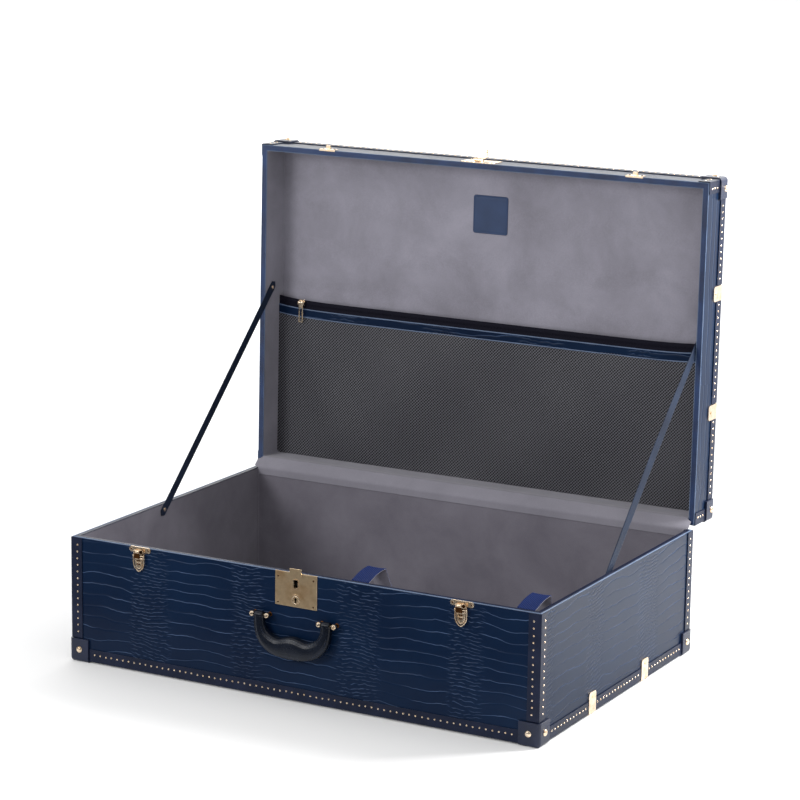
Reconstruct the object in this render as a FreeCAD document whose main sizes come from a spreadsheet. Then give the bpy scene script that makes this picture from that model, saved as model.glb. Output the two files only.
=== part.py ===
"""Leather travel trunk: plywood box and hinged lid under embossed leather, with brass fittings.

The trunk stands on its four bottom corner caps, centred on the origin, front towards -Y.
Lid pieces are drawn on the shut lid and then turned about the hinge line to the open lid.
"""
import FreeCAD
import Part
import Sketcher
import math
import os

Vector = FreeCAD.Vector

# Driving dimensions in millimetres and degrees: name, value
DRIVING = [
    # The box, measured over the edge trims
    ("trunk_width", 800),
    ("trunk_depth", 540),
    ("base_height", 196),
    ("lid_height", 68),
    ("rim_gap", 2),
    ("open_angle", 91),
    ("hinge_setback", 3),
    # Wall layers
    ("board_thick", 7.5),
    ("bottom_thick", 8),
    ("skin_thick", 1.2),
    ("lining_thick", 0.9),
    ("binding_thick", 1.2),
    # Edge trims
    ("trim_thick", 1.6),
    ("trim_width", 20),
    ("trim_round", 1.2),
    ("trim_break", 0.8),
    # Corner caps and their studs
    ("cap_proud", 2.4),
    ("cap_leg", 34),
    ("cap_height", 37),
    ("lid_cap_height", 30),
    ("cap_round", 6),
    ("stud_radius", 5.2),
    ("stud_crown_radius", 2.8),
    ("stud_height", 3),
    ("stud_inset", 18),
    ("stud_rise", 20),
    ("lid_stud_drop", 11),
    # Brass clips over the side edges
    ("clip_width", 24),
    ("clip_height", 33),
    ("clip_return", 17),
    ("clip_thick", 2),
    ("clip_front_inset", 179),
    ("clip_back_inset", 173),
    ("clip_round", 5),
    # Hinges on the back
    ("hinge_inset", 150),
    ("hinge_width", 60),
    ("leaf_height", 36),
    ("leaf_thick", 1.6),
    ("knuckle_radius", 3.6),
    ("hinge_pin_radius", 1.5),
    ("lid_knuckle_width", 22),
    # Clearances
    ("running_gap", 0.05),
    ("side_gap", 0.3),
    ("seat_gap", 0.2),
    ("cloth_gap", 0.3),
    # Lock on the base
    ("lock_width", 71),
    ("lock_height", 52.4),
    ("lock_thick", 1.6),
    ("lock_bevel", 0.7),
    ("tab_width", 19.5),
    ("tab_rise", 6.5),
    ("tab_lap", 4.6),
    ("tab_thick", 1.6),
    ("lip_thick", 0.8),
    ("slot_width", 6.4),
    ("slot_height", 11.7),
    ("slot_drop", 16.8),
    ("key_drop", 40),
    ("key_radius", 2.2),
    ("key_slot_width", 2.4),
    ("key_slot_height", 6),
    ("escutcheon_radius", 7.5),
    ("escutcheon_proud", 0.8),
    ("case_width", 58),
    ("case_height", 40),
    ("case_drop", 7),
    ("case_depth", 7.9),
    ("case_wall", 1.2),
    ("bolt_size", 2.6),
    ("bolt_length", 15),
    ("bolt_start", 4.2),
    ("guide_start", 8),
    ("guide_length", 9),
    ("guide_wall", 1.5),
    # Hasp on the lid
    ("hasp_plate_width", 60),
    ("hasp_plate_height", 35),
    ("hasp_plate_round", 5),
    ("fitting_thick", 1.2),
    ("hasp_rise", 8),
    ("hasp_width", 12),
    ("hasp_length", 34),
    ("hasp_thick", 1.6),
    ("hasp_barrel_radius", 3),
    ("hasp_rest_angle", 172),
    ("lug_thick", 2),
    ("lug_radius", 3),
    ("small_pin_radius", 1),
    ("staple_thick", 4),
    ("staple_radius", 3.6),
    ("staple_eye_radius", 2.1),
    # Draw latches
    ("latch_inset", 126),
    ("flange_width", 38),
    ("flange_height", 8.6),
    ("latch_tail_width", 16),
    ("latch_tail_height", 36),
    ("latch_axis_drop", 7),
    ("barrel_radius", 3),
    ("barrel_width", 12),
    ("lever_arm_thick", 1.6),
    ("lever_arm_length", 14),
    ("lever_width", 15),
    ("lever_length", 27.5),
    ("lever_shoulder", 19),
    ("lever_thick", 4.2),
    ("loop_pin_drop", 6),
    ("loop_width", 21),
    ("loop_wire", 2),
    ("loop_length", 24.6),
    ("loop_straight", 12),
    ("loop_eye_radius", 1.9),
    # Catches on the lid
    ("catch_width", 29.5),
    ("catch_height", 12),
    ("catch_hook_width", 8),
    ("catch_hook_low", 2.8),
    ("catch_hook_high", 6),
    ("catch_hook_proud", 7),
    ("catch_lip_reach", 3),
    # Handle
    ("handle_spread", 57),
    ("handle_drop", 69.5),
    ("handle_standoff", 10),
    ("ball_radius", 4.6),
    ("ball_spacing", 25),
    ("bar_radius", 2),
    ("post_radius", 2.6),
    ("post_foot_radius", 3.6),
    ("post_foot_thick", 1),
    ("handle_end_radius", 6),
    ("handle_end_width", 14),
    ("arm_width", 15),
    ("arm_depth", 11),
    ("grip_drop", 64),
    ("grip_height", 31),
    ("grip_depth", 18),
    ("grip_hump", 6),
    # Webbing straps
    ("webbing_width", 29),
    ("webbing_thick", 1.6),
    ("webbing_centre_place", 100.5),
    ("webbing_right_inset", 30),
    ("webbing_rise", 10.5),
    ("webbing_reach", 52),
    ("webbing_anchor", 30),
    ("webbing_drop", 80),
    ("webbing_bend", 7),
    # Lid stays
    ("stay_width", 15),
    ("stay_thick", 1.5),
    ("stay_overhang", 12),
    ("stay_base_place", 299),
    ("stay_base_drop", 10),
    ("stay_lid_place", 298),
    ("stay_lid_depth", 21),
    ("screw_radius", 3.4),
    ("screw_head_thick", 1.2),
    ("screw_shank_radius", 1.5),
    # Hinge cover of the lining
    ("cover_thick", 1),
    ("cover_tuck", 11),
    ("cover_lap", 16),
    # Zipped mesh pocket and label patch in the lid
    ("pocket_height", 240),
    ("pocket_depth", 11),
    ("mesh_thick", 1),
    ("net_fold", 2.5),
    ("band_width", 16),
    ("band_thick", 1.8),
    ("zip_width", 13),
    ("zip_tooth_height", 1.4),
    ("zip_tooth_width", 5),
    ("slider_inset", 57),
    ("slider_length", 11),
    ("slider_width", 8),
    ("slider_thick", 3),
    ("pull_length", 34),
    ("pull_width", 8),
    ("pull_thick", 1.4),
    ("pull_window_width", 4),
    ("pull_window_length", 22),
    ("label_width", 62),
    ("label_thick", 1.2),
    ("label_inset", 91),
    ("label_round", 4),
    # Flats round the small turned pieces
    ("flats", 16),
    # One overrun for every cutting tool
    ("overrun", 5),
]

doc = FreeCAD.newDocument("leather_trunk")
sheet = doc.addObject("Spreadsheet::Sheet", "sizes")


class Size:
    """A value of the sheet, or a sum worked out from such values: its number and its formula."""

    def __init__(self, number, formula):
        self.number = float(number)
        self.formula = formula

    def __float__(self):
        return self.number

    def __add__(self, other):
        other = as_size(other)
        return Size(self.number + other.number, f"({self.formula} + {other.formula})")

    def __radd__(self, other):
        return as_size(other) + self

    def __sub__(self, other):
        other = as_size(other)
        return Size(self.number - other.number, f"({self.formula} - {other.formula})")

    def __rsub__(self, other):
        return as_size(other) - self

    def __mul__(self, other):
        other = as_size(other)
        return Size(self.number * other.number, f"({self.formula} * {other.formula})")

    def __rmul__(self, other):
        return as_size(other) * self

    def __truediv__(self, other):
        other = as_size(other)
        return Size(self.number / other.number, f"({self.formula} / {other.formula})")

    def __neg__(self):
        return Size(-self.number, f"(0 - {self.formula})")


def as_size(value):
    """A plain number as a Size; a Size as it is."""
    if isinstance(value, Size):
        return value
    return Size(value, f"({float(value)})")


def sine(angle):
    return Size(math.sin(math.radians(float(angle))), f"sin({angle.formula})")


def cosine(angle):
    return Size(math.cos(math.radians(float(angle))), f"cos({angle.formula})")


class Sizes:
    """The sheet's driving dimensions, each one an attribute with its alias."""

    def __init__(self):
        for row, (name, value) in enumerate(DRIVING, start=1):
            cell = f"A{row}"
            sheet.set(cell, str(value))
            sheet.setAlias(cell, name)
            setattr(self, name, Size(value, f"sizes.{name}"))


S = Sizes()
doc.recompute()

# Places worked out from the driving dimensions
half_width = S.trunk_width / 2
half_depth = S.trunk_depth / 2
skin_x = half_width - S.trim_thick
skin_y = half_depth - S.trim_thick
board_x = skin_x - S.skin_thick
board_y = skin_y - S.skin_thick
wall_x = board_x - S.board_thick
wall_y = board_y - S.board_thick
inner_x = wall_x - S.lining_thick
inner_y = wall_y - S.lining_thick
trim_foot = S.cap_proud
skin_foot = trim_foot + S.trim_thick
board_foot = skin_foot + S.skin_thick
floor_top = board_foot + S.bottom_thick
rim = trim_foot + S.base_height
board_top = rim - S.binding_thick
lid_rim = rim + S.rim_gap
lid_board_foot = lid_rim + S.binding_thick
lid_trim_top = lid_rim + S.lid_height
lid_skin_top = lid_trim_top - S.trim_thick
lid_board_top = lid_skin_top - S.skin_thick
lid_ceiling_board = lid_board_top - S.board_thick
lid_ceiling = lid_ceiling_board - S.lining_thick
clip_front = S.clip_front_inset - half_depth
clip_back = half_depth - S.clip_back_inset
hinge_y = half_depth + S.hinge_setback
hinge_z = rim + S.rim_gap / 2

NODES = []


def bind(piece, prop, value):
    """Tie a property of a piece to the sheet."""
    piece.setExpression(prop, as_size(value).formula)


def block(x, y, z):
    """A box between a low and a high size along each axis."""
    box = doc.addObject("Part::Box", "block")
    for prop, axis, (low, high) in zip(("Length", "Width", "Height"), "xyz", (x, y, z)):
        bind(box, prop, as_size(high) - low)
        bind(box, f"Placement.Base.{axis}", low)
    return box


TURNS = {
    "x": FreeCAD.Rotation(Vector(0, 1, 0), 90),
    "y": FreeCAD.Rotation(Vector(1, 0, 0), -90),
    "z": FreeCAD.Rotation(),
}


def stand(piece, axis, centre, low):
    """Turn a round piece along an axis and put its foot at a size along it."""
    piece.Placement = FreeCAD.Placement(Vector(), TURNS[axis])
    places = dict(zip([name for name in "xyz" if name != axis], centre))
    places[axis] = low
    for name, place in places.items():
        bind(piece, f"Placement.Base.{name}", place)
    return piece


def rod(axis, centre, radius, low, high):
    """A cylinder along x, y or z between two sizes; centre gives the other two in order."""
    cylinder = doc.addObject("Part::Cylinder", "rod")
    bind(cylinder, "Radius", radius)
    bind(cylinder, "Height", as_size(high) - low)
    return stand(cylinder, axis, centre, low)


half_turn = as_size(180)
half_flat = half_turn / S.flats

# How much further than its flats the corners of an even-sided piece reach
corner_swell = as_size(1) / cosine(half_flat)


def bar(axis, centre, radius, low, high):
    """A bar with even flats that lie at the radius: a small round piece, or its bore."""
    prism = doc.addObject("Part::Prism", "bar")
    bind(prism, "Polygon", S.flats)
    bind(prism, "Circumradius", radius * corner_swell)
    bind(prism, "Height", as_size(high) - low)
    return stand(prism, axis, centre, low)


def turned(axis, centre, profile):
    """A turned piece with even flats, from places along its axis and the radius at each."""
    rings = []
    for place, radius in profile:
        ring = doc.addObject("Part::RegularPolygon", "ring")
        bind(ring, "Polygon", S.flats)
        bind(ring, "Circumradius", radius * corner_swell)
        rings.append(stand(ring, axis, centre, place))
    piece = doc.addObject("Part::Loft", "turned")
    piece.Sections = rings
    piece.Solid = True
    piece.Ruled = True
    return piece


def cut(base, *tools):
    """A piece less its tools."""
    for tool in tools:
        less = doc.addObject("Part::Cut", "cut")
        less.Base = base
        less.Tool = tool
        base = less
    return base


def fuse(*pieces):
    """Pieces joined into one solid."""
    joined = doc.addObject("Part::MultiFuse", "fuse")
    joined.Shapes = list(pieces)
    joined.Refine = True
    return joined


def group(*pieces):
    """Separate solids that share one node."""
    together = doc.addObject("Part::Compound", "group")
    together.Links = list(pieces)
    return together


def keep(label, piece):
    """Name a finished sub-part."""
    piece.Label = label
    NODES.append(piece)
    return piece


def turn(piece, angle, y, z):
    """Turn a group about the line along X through y and z, front upwards."""
    piece.Placement = FreeCAD.Placement(Vector(), FreeCAD.Rotation(Vector(-1, 0, 0), float(angle)))
    bind(piece, "Placement.Rotation.Angle", angle)
    bind(piece, "Placement.Base.y", y - y * cosine(angle) - z * sine(angle))
    bind(piece, "Placement.Base.z", z + y * sine(angle) - z * cosine(angle))
    return piece


def keep_on_lid(label, *pieces):
    """Name a sub-part of the lid and open it with the lid."""
    return keep(label, turn(group(*pieces), S.open_angle, hinge_y, hinge_z))


def closed_outline(sketch, corners):
    """Add a closed run of lines; two distances from the origin hold each corner."""
    first = sketch.GeometryCount
    count = len(corners)
    points = [Vector(float(u), float(v), 0) for u, v in corners]
    for number in range(count):
        sketch.addGeometry(Part.LineSegment(points[number], points[(number + 1) % count]), False)
    for number in range(count):
        sketch.addConstraint(
            Sketcher.Constraint("Coincident", first + number, 2, first + (number + 1) % count, 1)
        )
    for number, (u, v) in enumerate(corners):
        for kind, value in (("DistanceX", u), ("DistanceY", v)):
            index = sketch.addConstraint(Sketcher.Constraint(kind, first + number, 1, float(value)))
            bind(sketch, f"Constraints[{index}]", value)


def round_hole(sketch, u, v, radius):
    """Add a circle held by its centre and radius."""
    circle = sketch.addGeometry(
        Part.Circle(Vector(float(u), float(v), 0), Vector(0, 0, 1), float(radius)), False
    )
    for constraint, value in (
        (Sketcher.Constraint("DistanceX", circle, 3, float(u)), u),
        (Sketcher.Constraint("DistanceY", circle, 3, float(v)), v),
        (Sketcher.Constraint("Radius", circle, float(radius)), radius),
    ):
        index = sketch.addConstraint(constraint)
        bind(sketch, f"Constraints[{index}]", value)


def rectangle(u, v):
    """The corners of a rectangle between low and high sizes."""
    return [(u[0], v[0]), (u[1], v[0]), (u[1], v[1]), (u[0], v[1])]


def sketched(name, plane, offset, length, outlines, holes=()):
    """A body padded from outlines on one of its origin planes, moved along the plane's normal."""
    body = doc.addObject("PartDesign::Body", name)
    support = [feature for feature in body.Origin.OriginFeatures if feature.Role == plane][0]
    sketch = body.newObject("Sketcher::SketchObject", f"{name}_outline")
    sketch.AttachmentSupport = [(support, "")]
    sketch.MapMode = "FlatFace"
    bind(sketch, "AttachmentOffset.Base.z", offset)
    for corners in outlines:
        closed_outline(sketch, corners)
    for u, v, radius in holes:
        round_hole(sketch, u, v, radius)
    pad = body.newObject("PartDesign::Pad", f"{name}_pad")
    pad.Profile = sketch
    bind(pad, "Length", length)
    return body


def edges_of(shape, test):
    """The names of the straight edges that lie where the test says."""
    names = []
    for number, edge in enumerate(shape.Edges, start=1):
        if isinstance(edge.Curve, Part.Line):
            middle = edge.CenterOfMass
            direction = edge.tangentAt(edge.FirstParameter)
            if test(middle, direction):
                names.append(f"Edge{number}")
    return names


def dress(body, kind, radius, test):
    """Round or bevel the edges of a body that lie where the test says."""
    doc.recompute()
    tip = body.Tip
    feature = body.newObject(f"PartDesign::{kind}", f"{body.Name}_{kind}")
    feature.Base = (tip, edges_of(tip.Shape, test))
    bind(feature, "Radius" if kind == "Fillet" else "Size", radius)
    return body


def near(one, other):
    return abs(one - float(other)) < float(S.running_gap)


def drawn(name, shape):
    """A feature whose shape Part's own functions made from the sheet's sizes."""
    feature = doc.addObject("Part::Feature", name)
    feature.Shape = shape
    return feature


def box_shell(x, y, low, high, wall, floor_low):
    """An open box: outer half sizes, height and wall, its cavity starting at floor_low."""
    outer = block((-x, x), (-y, y), (low, high))
    cavity = block((wall - x, x - wall), (wall - y, y - wall), floor_low)
    return cut(outer, cavity)


# The box of the base

mortise_x = S.case_width / 2
case_top = rim - S.case_drop
case_foot = case_top - S.case_height


def mortise():
    """The pocket in the front wall that takes the lock case."""
    return block(
        (-mortise_x, mortise_x),
        (-skin_y - S.overrun, -wall_y + S.overrun),
        (case_foot, case_top),
    )


def make_base_box():
    full_height = (board_foot, board_top)
    front = block((-board_x, board_x), (-board_y, -wall_y), full_height)
    keep("base_front_board", cut(front, mortise()))
    keep("base_back_board", block((-board_x, board_x), (wall_y, board_y), full_height))
    keep("base_left_board", block((-board_x, -wall_x), (-wall_y, wall_y), full_height))
    keep("base_right_board", block((wall_x, board_x), (-wall_y, wall_y), full_height))
    keep(
        "base_bottom_board",
        block((-wall_x, wall_x), (-wall_y, wall_y), (board_foot, floor_top)),
    )
    skin = box_shell(
        skin_x, skin_y, skin_foot, board_top, S.skin_thick, (board_foot, board_top + S.overrun)
    )
    window = block(
        (-mortise_x, mortise_x),
        (-skin_y - S.overrun, -board_y + S.skin_thick),
        (case_foot, case_top),
    )
    keep("base_leather_cover", cut(skin, window))
    keep(
        "base_lining",
        box_shell(
            wall_x,
            wall_y,
            floor_top,
            board_top,
            S.lining_thick,
            (floor_top + S.lining_thick, board_top + S.overrun),
        ),
    )
    keep("base_rim_binding", rim_frame(board_top, rim))


def rim_frame(low, high):
    """The leather that wraps a rim: a flat frame over boards, skin and lining."""
    outer = block((-skin_x, skin_x), (-skin_y, skin_y), (low, high))
    hole = block((-inner_x, inner_x), (-inner_y, inner_y), (low - S.overrun, high + S.overrun))
    return cut(outer, hole)


# The box of the lid, drawn shut


def make_lid_box():
    full_height = (lid_board_foot, lid_board_top)
    keep_on_lid("lid_front_board", block((-board_x, board_x), (-board_y, -wall_y), full_height))
    keep_on_lid("lid_back_board", block((-board_x, board_x), (wall_y, board_y), full_height))
    keep_on_lid("lid_left_board", block((-board_x, -wall_x), (-wall_y, wall_y), full_height))
    keep_on_lid("lid_right_board", block((wall_x, board_x), (-wall_y, wall_y), full_height))
    keep_on_lid(
        "lid_top_board",
        block((-wall_x, wall_x), (-wall_y, wall_y), (lid_ceiling_board, lid_board_top)),
    )
    keep_on_lid(
        "lid_leather_cover",
        box_shell(
            skin_x,
            skin_y,
            lid_board_foot,
            lid_skin_top,
            S.skin_thick,
            (lid_board_foot - S.overrun, lid_board_top),
        ),
    )
    keep_on_lid(
        "lid_lining",
        box_shell(
            wall_x,
            wall_y,
            lid_board_foot,
            lid_ceiling_board,
            S.lining_thick,
            (lid_board_foot - S.overrun, lid_ceiling),
        ),
    )
    keep_on_lid("lid_rim_binding", rim_frame(lid_rim, lid_board_foot))


# Edge trims: angle strips of leather with a rounded outer edge


def corner_strip(side_x, side_y, low, high):
    """An upright angle strip at one corner; side_x and side_y are -1 or 1."""
    edge_x, edge_y = side_x * half_width, side_y * half_depth
    near_x, near_y = side_x * skin_x, side_y * skin_y
    far_x = edge_x - side_x * S.trim_width
    far_y = edge_y - side_y * S.trim_width
    outline = [
        (edge_x, edge_y),
        (far_x, edge_y),
        (far_x, near_y),
        (near_x, near_y),
        (near_x, far_y),
        (edge_x, far_y),
    ]
    body = sketched("corner_strip", "XY_Plane", low, as_size(high) - low, [outline])
    return dress(
        body, "Fillet", S.trim_round, lambda p, d: near(p.x, edge_x) and near(p.y, edge_y)
    )


def level_profile(edge, face, side, edge_z, skin_z, up):
    """The angle profile of a level strip: edge and face across, edge_z and skin_z in height."""
    return [
        (side * edge, edge_z),
        (side * edge, edge_z + up * S.trim_width),
        (side * face, edge_z + up * S.trim_width),
        (side * face, skin_z),
        (side * edge - side * S.trim_width, skin_z),
        (side * edge - side * S.trim_width, edge_z),
    ]


def cross_strip(side, low, high, edge_z, skin_z, up):
    """A level strip along X on the front (-1) or back (1) edge."""
    outline = level_profile(half_depth, skin_y, side, edge_z, skin_z, up)
    body = sketched("cross_strip", "YZ_Plane", low, as_size(high) - low, [outline])
    return dress(
        body,
        "Fillet",
        S.trim_round,
        lambda p, d: near(p.y, side * half_depth) and near(p.z, edge_z),
    )


def side_strip(side, low, high, edge_z, skin_z, up):
    """A level strip along Y on the left (-1) or right (1) edge, from low to high in y."""
    outline = level_profile(half_width, skin_x, side, edge_z, skin_z, up)
    body = sketched("side_strip", "XZ_Plane", -as_size(high), as_size(high) - low, [outline])
    return dress(
        body, "Fillet", S.trim_round, lambda p, d: near(p.x, side * half_width) and near(p.z, edge_z)
    )


def side_spans():
    """The runs of trim along a side, between the caps and the clips."""
    end = half_depth + S.cap_proud - S.cap_leg - S.trim_break
    reach = S.clip_width / 2 + S.trim_break
    return [
        (-end, clip_front - reach),
        (clip_front + reach, clip_back - reach),
        (clip_back + reach, end),
    ]


def level_trims(edge_z, skin_z, up):
    """All level strips of one box edge: two long ones and three short ones on each side."""
    end = half_width + S.cap_proud - S.cap_leg - S.trim_break
    strips = [cross_strip(side, -end, end, edge_z, skin_z, up) for side in (-1, 1)]
    for side in (-1, 1):
        strips += [side_strip(side, low, high, edge_z, skin_z, up) for low, high in side_spans()]
    return strips


CORNERS = [(-1, -1), (1, -1), (-1, 1), (1, 1)]


def make_trims():
    low = S.cap_height + S.trim_break
    keep(
        "base_corner_trims",
        group(*[corner_strip(x, y, low, board_top) for x, y in CORNERS]),
    )
    keep("base_bottom_trims", group(*level_trims(trim_foot, skin_foot, 1)))
    high = lid_trim_top + S.cap_proud - S.lid_cap_height - S.trim_break
    uprights = [corner_strip(x, y, lid_board_foot, high) for x, y in CORNERS]
    keep_on_lid("lid_edge_trims", *uprights, *level_trims(lid_trim_top, lid_skin_top, -1))


# Corner caps: three-sided moulded shells, rounded outside


def corner_cap(side_x, side_y, tip, height, up):
    """A cap whose outer tip lies at the height tip; up is 1 for the base and -1 for the lid."""
    outer_x, outer_y = half_width + S.cap_proud, half_depth + S.cap_proud
    x_ends = (side_x * outer_x, side_x * (outer_x - S.cap_leg))
    y_ends = (side_y * outer_y, side_y * (outer_y - S.cap_leg))
    low = tip if up > 0 else tip - height
    body = sketched("cap", "XY_Plane", low, height, [rectangle(x_ends, y_ends)])
    dress(
        body,
        "Fillet",
        S.cap_round,
        lambda p, d: near(p.x, x_ends[0]) + near(p.y, y_ends[0]) + near(p.z, tip) > 1,
    )
    inside = tip + up * (S.cap_proud + S.trim_thick)
    sketch = body.newObject("Sketcher::SketchObject", "cap_inside")
    support = [item for item in body.Origin.OriginFeatures if item.Role == "XY_Plane"][0]
    sketch.AttachmentSupport = [(support, "")]
    sketch.MapMode = "FlatFace"
    bind(sketch, "AttachmentOffset.Base.z", inside)
    far = outer_x - S.cap_leg - S.overrun
    far_y = outer_y - S.cap_leg - S.overrun
    closed_outline(
        sketch, rectangle((side_x * skin_x, side_x * far), (side_y * skin_y, side_y * far_y))
    )
    pocket = body.newObject("PartDesign::Pocket", "cap_hollow")
    pocket.Profile = sketch
    pocket.Reversed = up > 0
    bind(pocket, "Length", height)
    return body


def stud(axis, side, face, centre):
    """A domed stud that stands with its wide end on a cap's face."""
    profile = [
        (side * face, S.stud_radius),
        (side * (face + S.stud_height / 2), (S.stud_radius * 2 + S.stud_crown_radius) / 3),
        (side * (face + S.stud_height), S.stud_crown_radius),
    ]
    return turned(axis, centre, profile)


def studs(height):
    """Two studs for each corner at one height: one on the front or back, one on the side."""
    outer_x, outer_y = half_width + S.cap_proud, half_depth + S.cap_proud
    made = []
    for side_x, side_y in CORNERS:
        along_x = side_x * (outer_x - S.stud_inset)
        along_y = side_y * (outer_y - S.stud_inset)
        made.append(stud("y", side_y, outer_y, (along_x, height)))
        made.append(stud("x", side_x, outer_x, (along_y, height)))
    return made


def make_caps():
    floor = S.cap_proud - trim_foot
    feet = [corner_cap(x, y, floor, S.cap_height, 1) for x, y in CORNERS]
    keep("base_corner_caps", group(*feet))
    keep("base_cap_studs", group(*studs(S.stud_rise)))
    tip = lid_trim_top + S.cap_proud
    caps = [corner_cap(x, y, tip, S.lid_cap_height, -1) for x, y in CORNERS]
    keep_on_lid("lid_corner_caps", *caps)
    keep_on_lid("lid_cap_studs", *studs(tip - S.lid_stud_drop))


# Brass clips over the side edges


def clip(side, place, skin_z, up):
    """A brass strip up the side and round the edge, with a rounded end."""
    outer = skin_x + S.clip_thick
    edge = skin_z - up * S.clip_thick
    outline = [
        (side * outer, edge),
        (side * outer, edge + up * S.clip_height),
        (side * skin_x, edge + up * S.clip_height),
        (side * skin_x, skin_z),
        (side * (outer - S.clip_return), skin_z),
        (side * (outer - S.clip_return), edge),
    ]
    body = sketched(
        "clip", "XZ_Plane", -(place + S.clip_width / 2), S.clip_width, [outline]
    )
    top = edge + up * S.clip_height
    dress(body, "Fillet", S.clip_round, lambda p, d: near(p.z, top) and abs(d.x) > abs(d.y))
    dress(body, "Fillet", S.clip_thick / 2, lambda p, d: near(p.x, side * outer) and near(p.z, edge))
    return body


def clips(skin_z, up):
    places = (clip_front, clip_back)
    return [clip(side, place, skin_z, up) for side in (-1, 1) for place in places]


def make_clips():
    keep("base_side_clips", group(*clips(skin_foot, 1)))
    keep_on_lid("lid_side_clips", *clips(lid_skin_top, -1))


# Butt hinges: leaves on the two backs, knuckles about one pin


def hinge_leaf(centre, up, spans):
    """A leaf with its knuckles; up is -1 on the base and 1 on the lid."""
    reach = S.knuckle_radius + S.seat_gap
    far = hinge_z + up * S.leaf_height
    start = hinge_z + up * reach
    low, high = (start, far) if up > 0 else (far, start)
    back = (skin_y, skin_y + S.leaf_thick)
    half = S.hinge_width / 2
    pieces = [block((centre - half, centre + half), back, (low, high))]
    for left, right in spans:
        z_span = (hinge_z + S.seat_gap, start) if up > 0 else (start, hinge_z - S.seat_gap)
        pieces.append(block((left, right), back, z_span))
        pieces.append(bar("x", (hinge_y, hinge_z), S.knuckle_radius, left, right))
    bore = bar(
        "x",
        (hinge_y, hinge_z),
        S.hinge_pin_radius + S.running_gap,
        centre - half - S.overrun,
        centre + half + S.overrun,
    )
    return cut(fuse(*pieces), bore)


def make_hinges():
    base_leaves, lid_leaves, pins = [], [], []
    half = S.hinge_width / 2
    middle = S.lid_knuckle_width / 2
    for side in (-1, 0, 1):
        centre = side * (half_width - S.hinge_inset)
        outer_spans = [
            (centre - half, centre - middle - S.side_gap),
            (centre + middle + S.side_gap, centre + half),
        ]
        base_leaves.append(hinge_leaf(centre, -1, outer_spans))
        lid_leaves.append(hinge_leaf(centre, 1, [(centre - middle, centre + middle)]))
        pins.append(
            rod("x", (hinge_y, hinge_z), S.hinge_pin_radius, centre - half, centre + half)
        )
    keep("hinge_base_leaves", group(*base_leaves))
    keep("hinge_pins", group(*pins))
    keep_on_lid("hinge_lid_leaves", *lid_leaves)


# The lock: plate, case and bolt

plate_top = rim
slot_z = plate_top - S.slot_drop
key_z = plate_top - S.key_drop
bolt_y = -skin_y - S.lock_thick - S.hasp_thick / 2


def make_lock():
    half = S.lock_width / 2
    slot = rectangle(
        (-S.slot_width / 2, S.slot_width / 2),
        (slot_z - S.slot_height / 2, slot_z + S.slot_height / 2),
    )
    face = sketched(
        "lock_face",
        "XZ_Plane",
        skin_y,
        S.lock_thick,
        [rectangle((-half, half), (plate_top - S.lock_height, plate_top)), slot],
    )
    front = -skin_y - S.lock_thick
    foot = plate_top - S.lock_height
    dress(
        face,
        "Chamfer",
        S.lock_bevel,
        lambda p, d: near(p.y, front) and (near(abs(p.x), half) or near(p.z, foot)),
    )
    ring = bar("y", (0, key_z), S.escutcheon_radius, front - S.escutcheon_proud, front)
    tab = block(
        (-S.tab_width / 2, S.tab_width / 2),
        (front - S.tab_thick, front),
        (plate_top - S.tab_lap, plate_top + S.tab_rise),
    )
    key_round = bar("y", (0, key_z), S.key_radius, front - S.overrun, -skin_y + S.overrun)
    key_slot = block(
        (-S.key_slot_width / 2, S.key_slot_width / 2),
        (front - S.overrun, -skin_y + S.overrun),
        (key_z - S.key_slot_height, key_z),
    )
    keep("lock_plate", cut(fuse(face, ring, tab), key_round, key_slot))
    half_case = mortise_x - S.seat_gap
    case = block(
        (-half_case, half_case),
        (-skin_y, -skin_y + S.case_depth),
        (case_foot + S.seat_gap, case_top - S.seat_gap),
    )
    hollow = block(
        (S.case_wall - half_case, half_case - S.case_wall),
        (-skin_y - S.overrun, -skin_y + S.case_depth - S.case_wall),
        (
            case_foot + S.seat_gap + S.case_wall,
            case_top - S.seat_gap - S.case_wall,
        ),
    )
    keep("lock_case", fuse(cut(case, hollow), bolt_guide()))
    keep("lock_bolt", bolt(S.bolt_start, S.bolt_length, S.bolt_size / 2))


def bolt(start, length, half):
    """A square bar on the line of the staple's eye."""
    eye_y = staple_eye_y()
    return block(
        (start, start + length), (eye_y - half, eye_y + half), (slot_z - half, slot_z + half)
    )


def bolt_guide():
    """The square guide that carries the bolt off the back of the case."""
    half = S.bolt_size / 2 + S.running_gap
    outer = half + S.guide_wall
    guide = block(
        (S.guide_start, S.guide_start + S.guide_length),
        (staple_eye_y() - outer, -skin_y + S.case_depth - S.case_wall),
        (slot_z - outer, slot_z + outer),
    )
    return cut(guide, bolt(S.guide_start - S.overrun, S.guide_length + S.overrun * 2, half))


def staple_eye_y():
    """How deep the eye of the shut hasp's staple lies."""
    return -skin_y + S.case_depth - S.case_wall - S.staple_radius - S.seat_gap


# The hasp: a plate on the lid, and the swinging strap with its staple

hasp_y = -skin_y - S.fitting_thick - S.hasp_barrel_radius - S.seat_gap
hasp_z = lid_rim + S.hasp_rise


def lugs(inner, y, z, plate_y, radius):
    """Two ears that carry a pin across them; inner is half the width between them."""
    made = []
    for side in (-1, 1):
        ends = (side * inner, side * (inner + S.lug_thick))
        low, high = ends if side > 0 else ends[::-1]
        made.append(bar("x", (y, z), radius, low, high))
        made.append(block((low, high), (y, plate_y), (z - radius, z + radius)))
    return made


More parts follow.
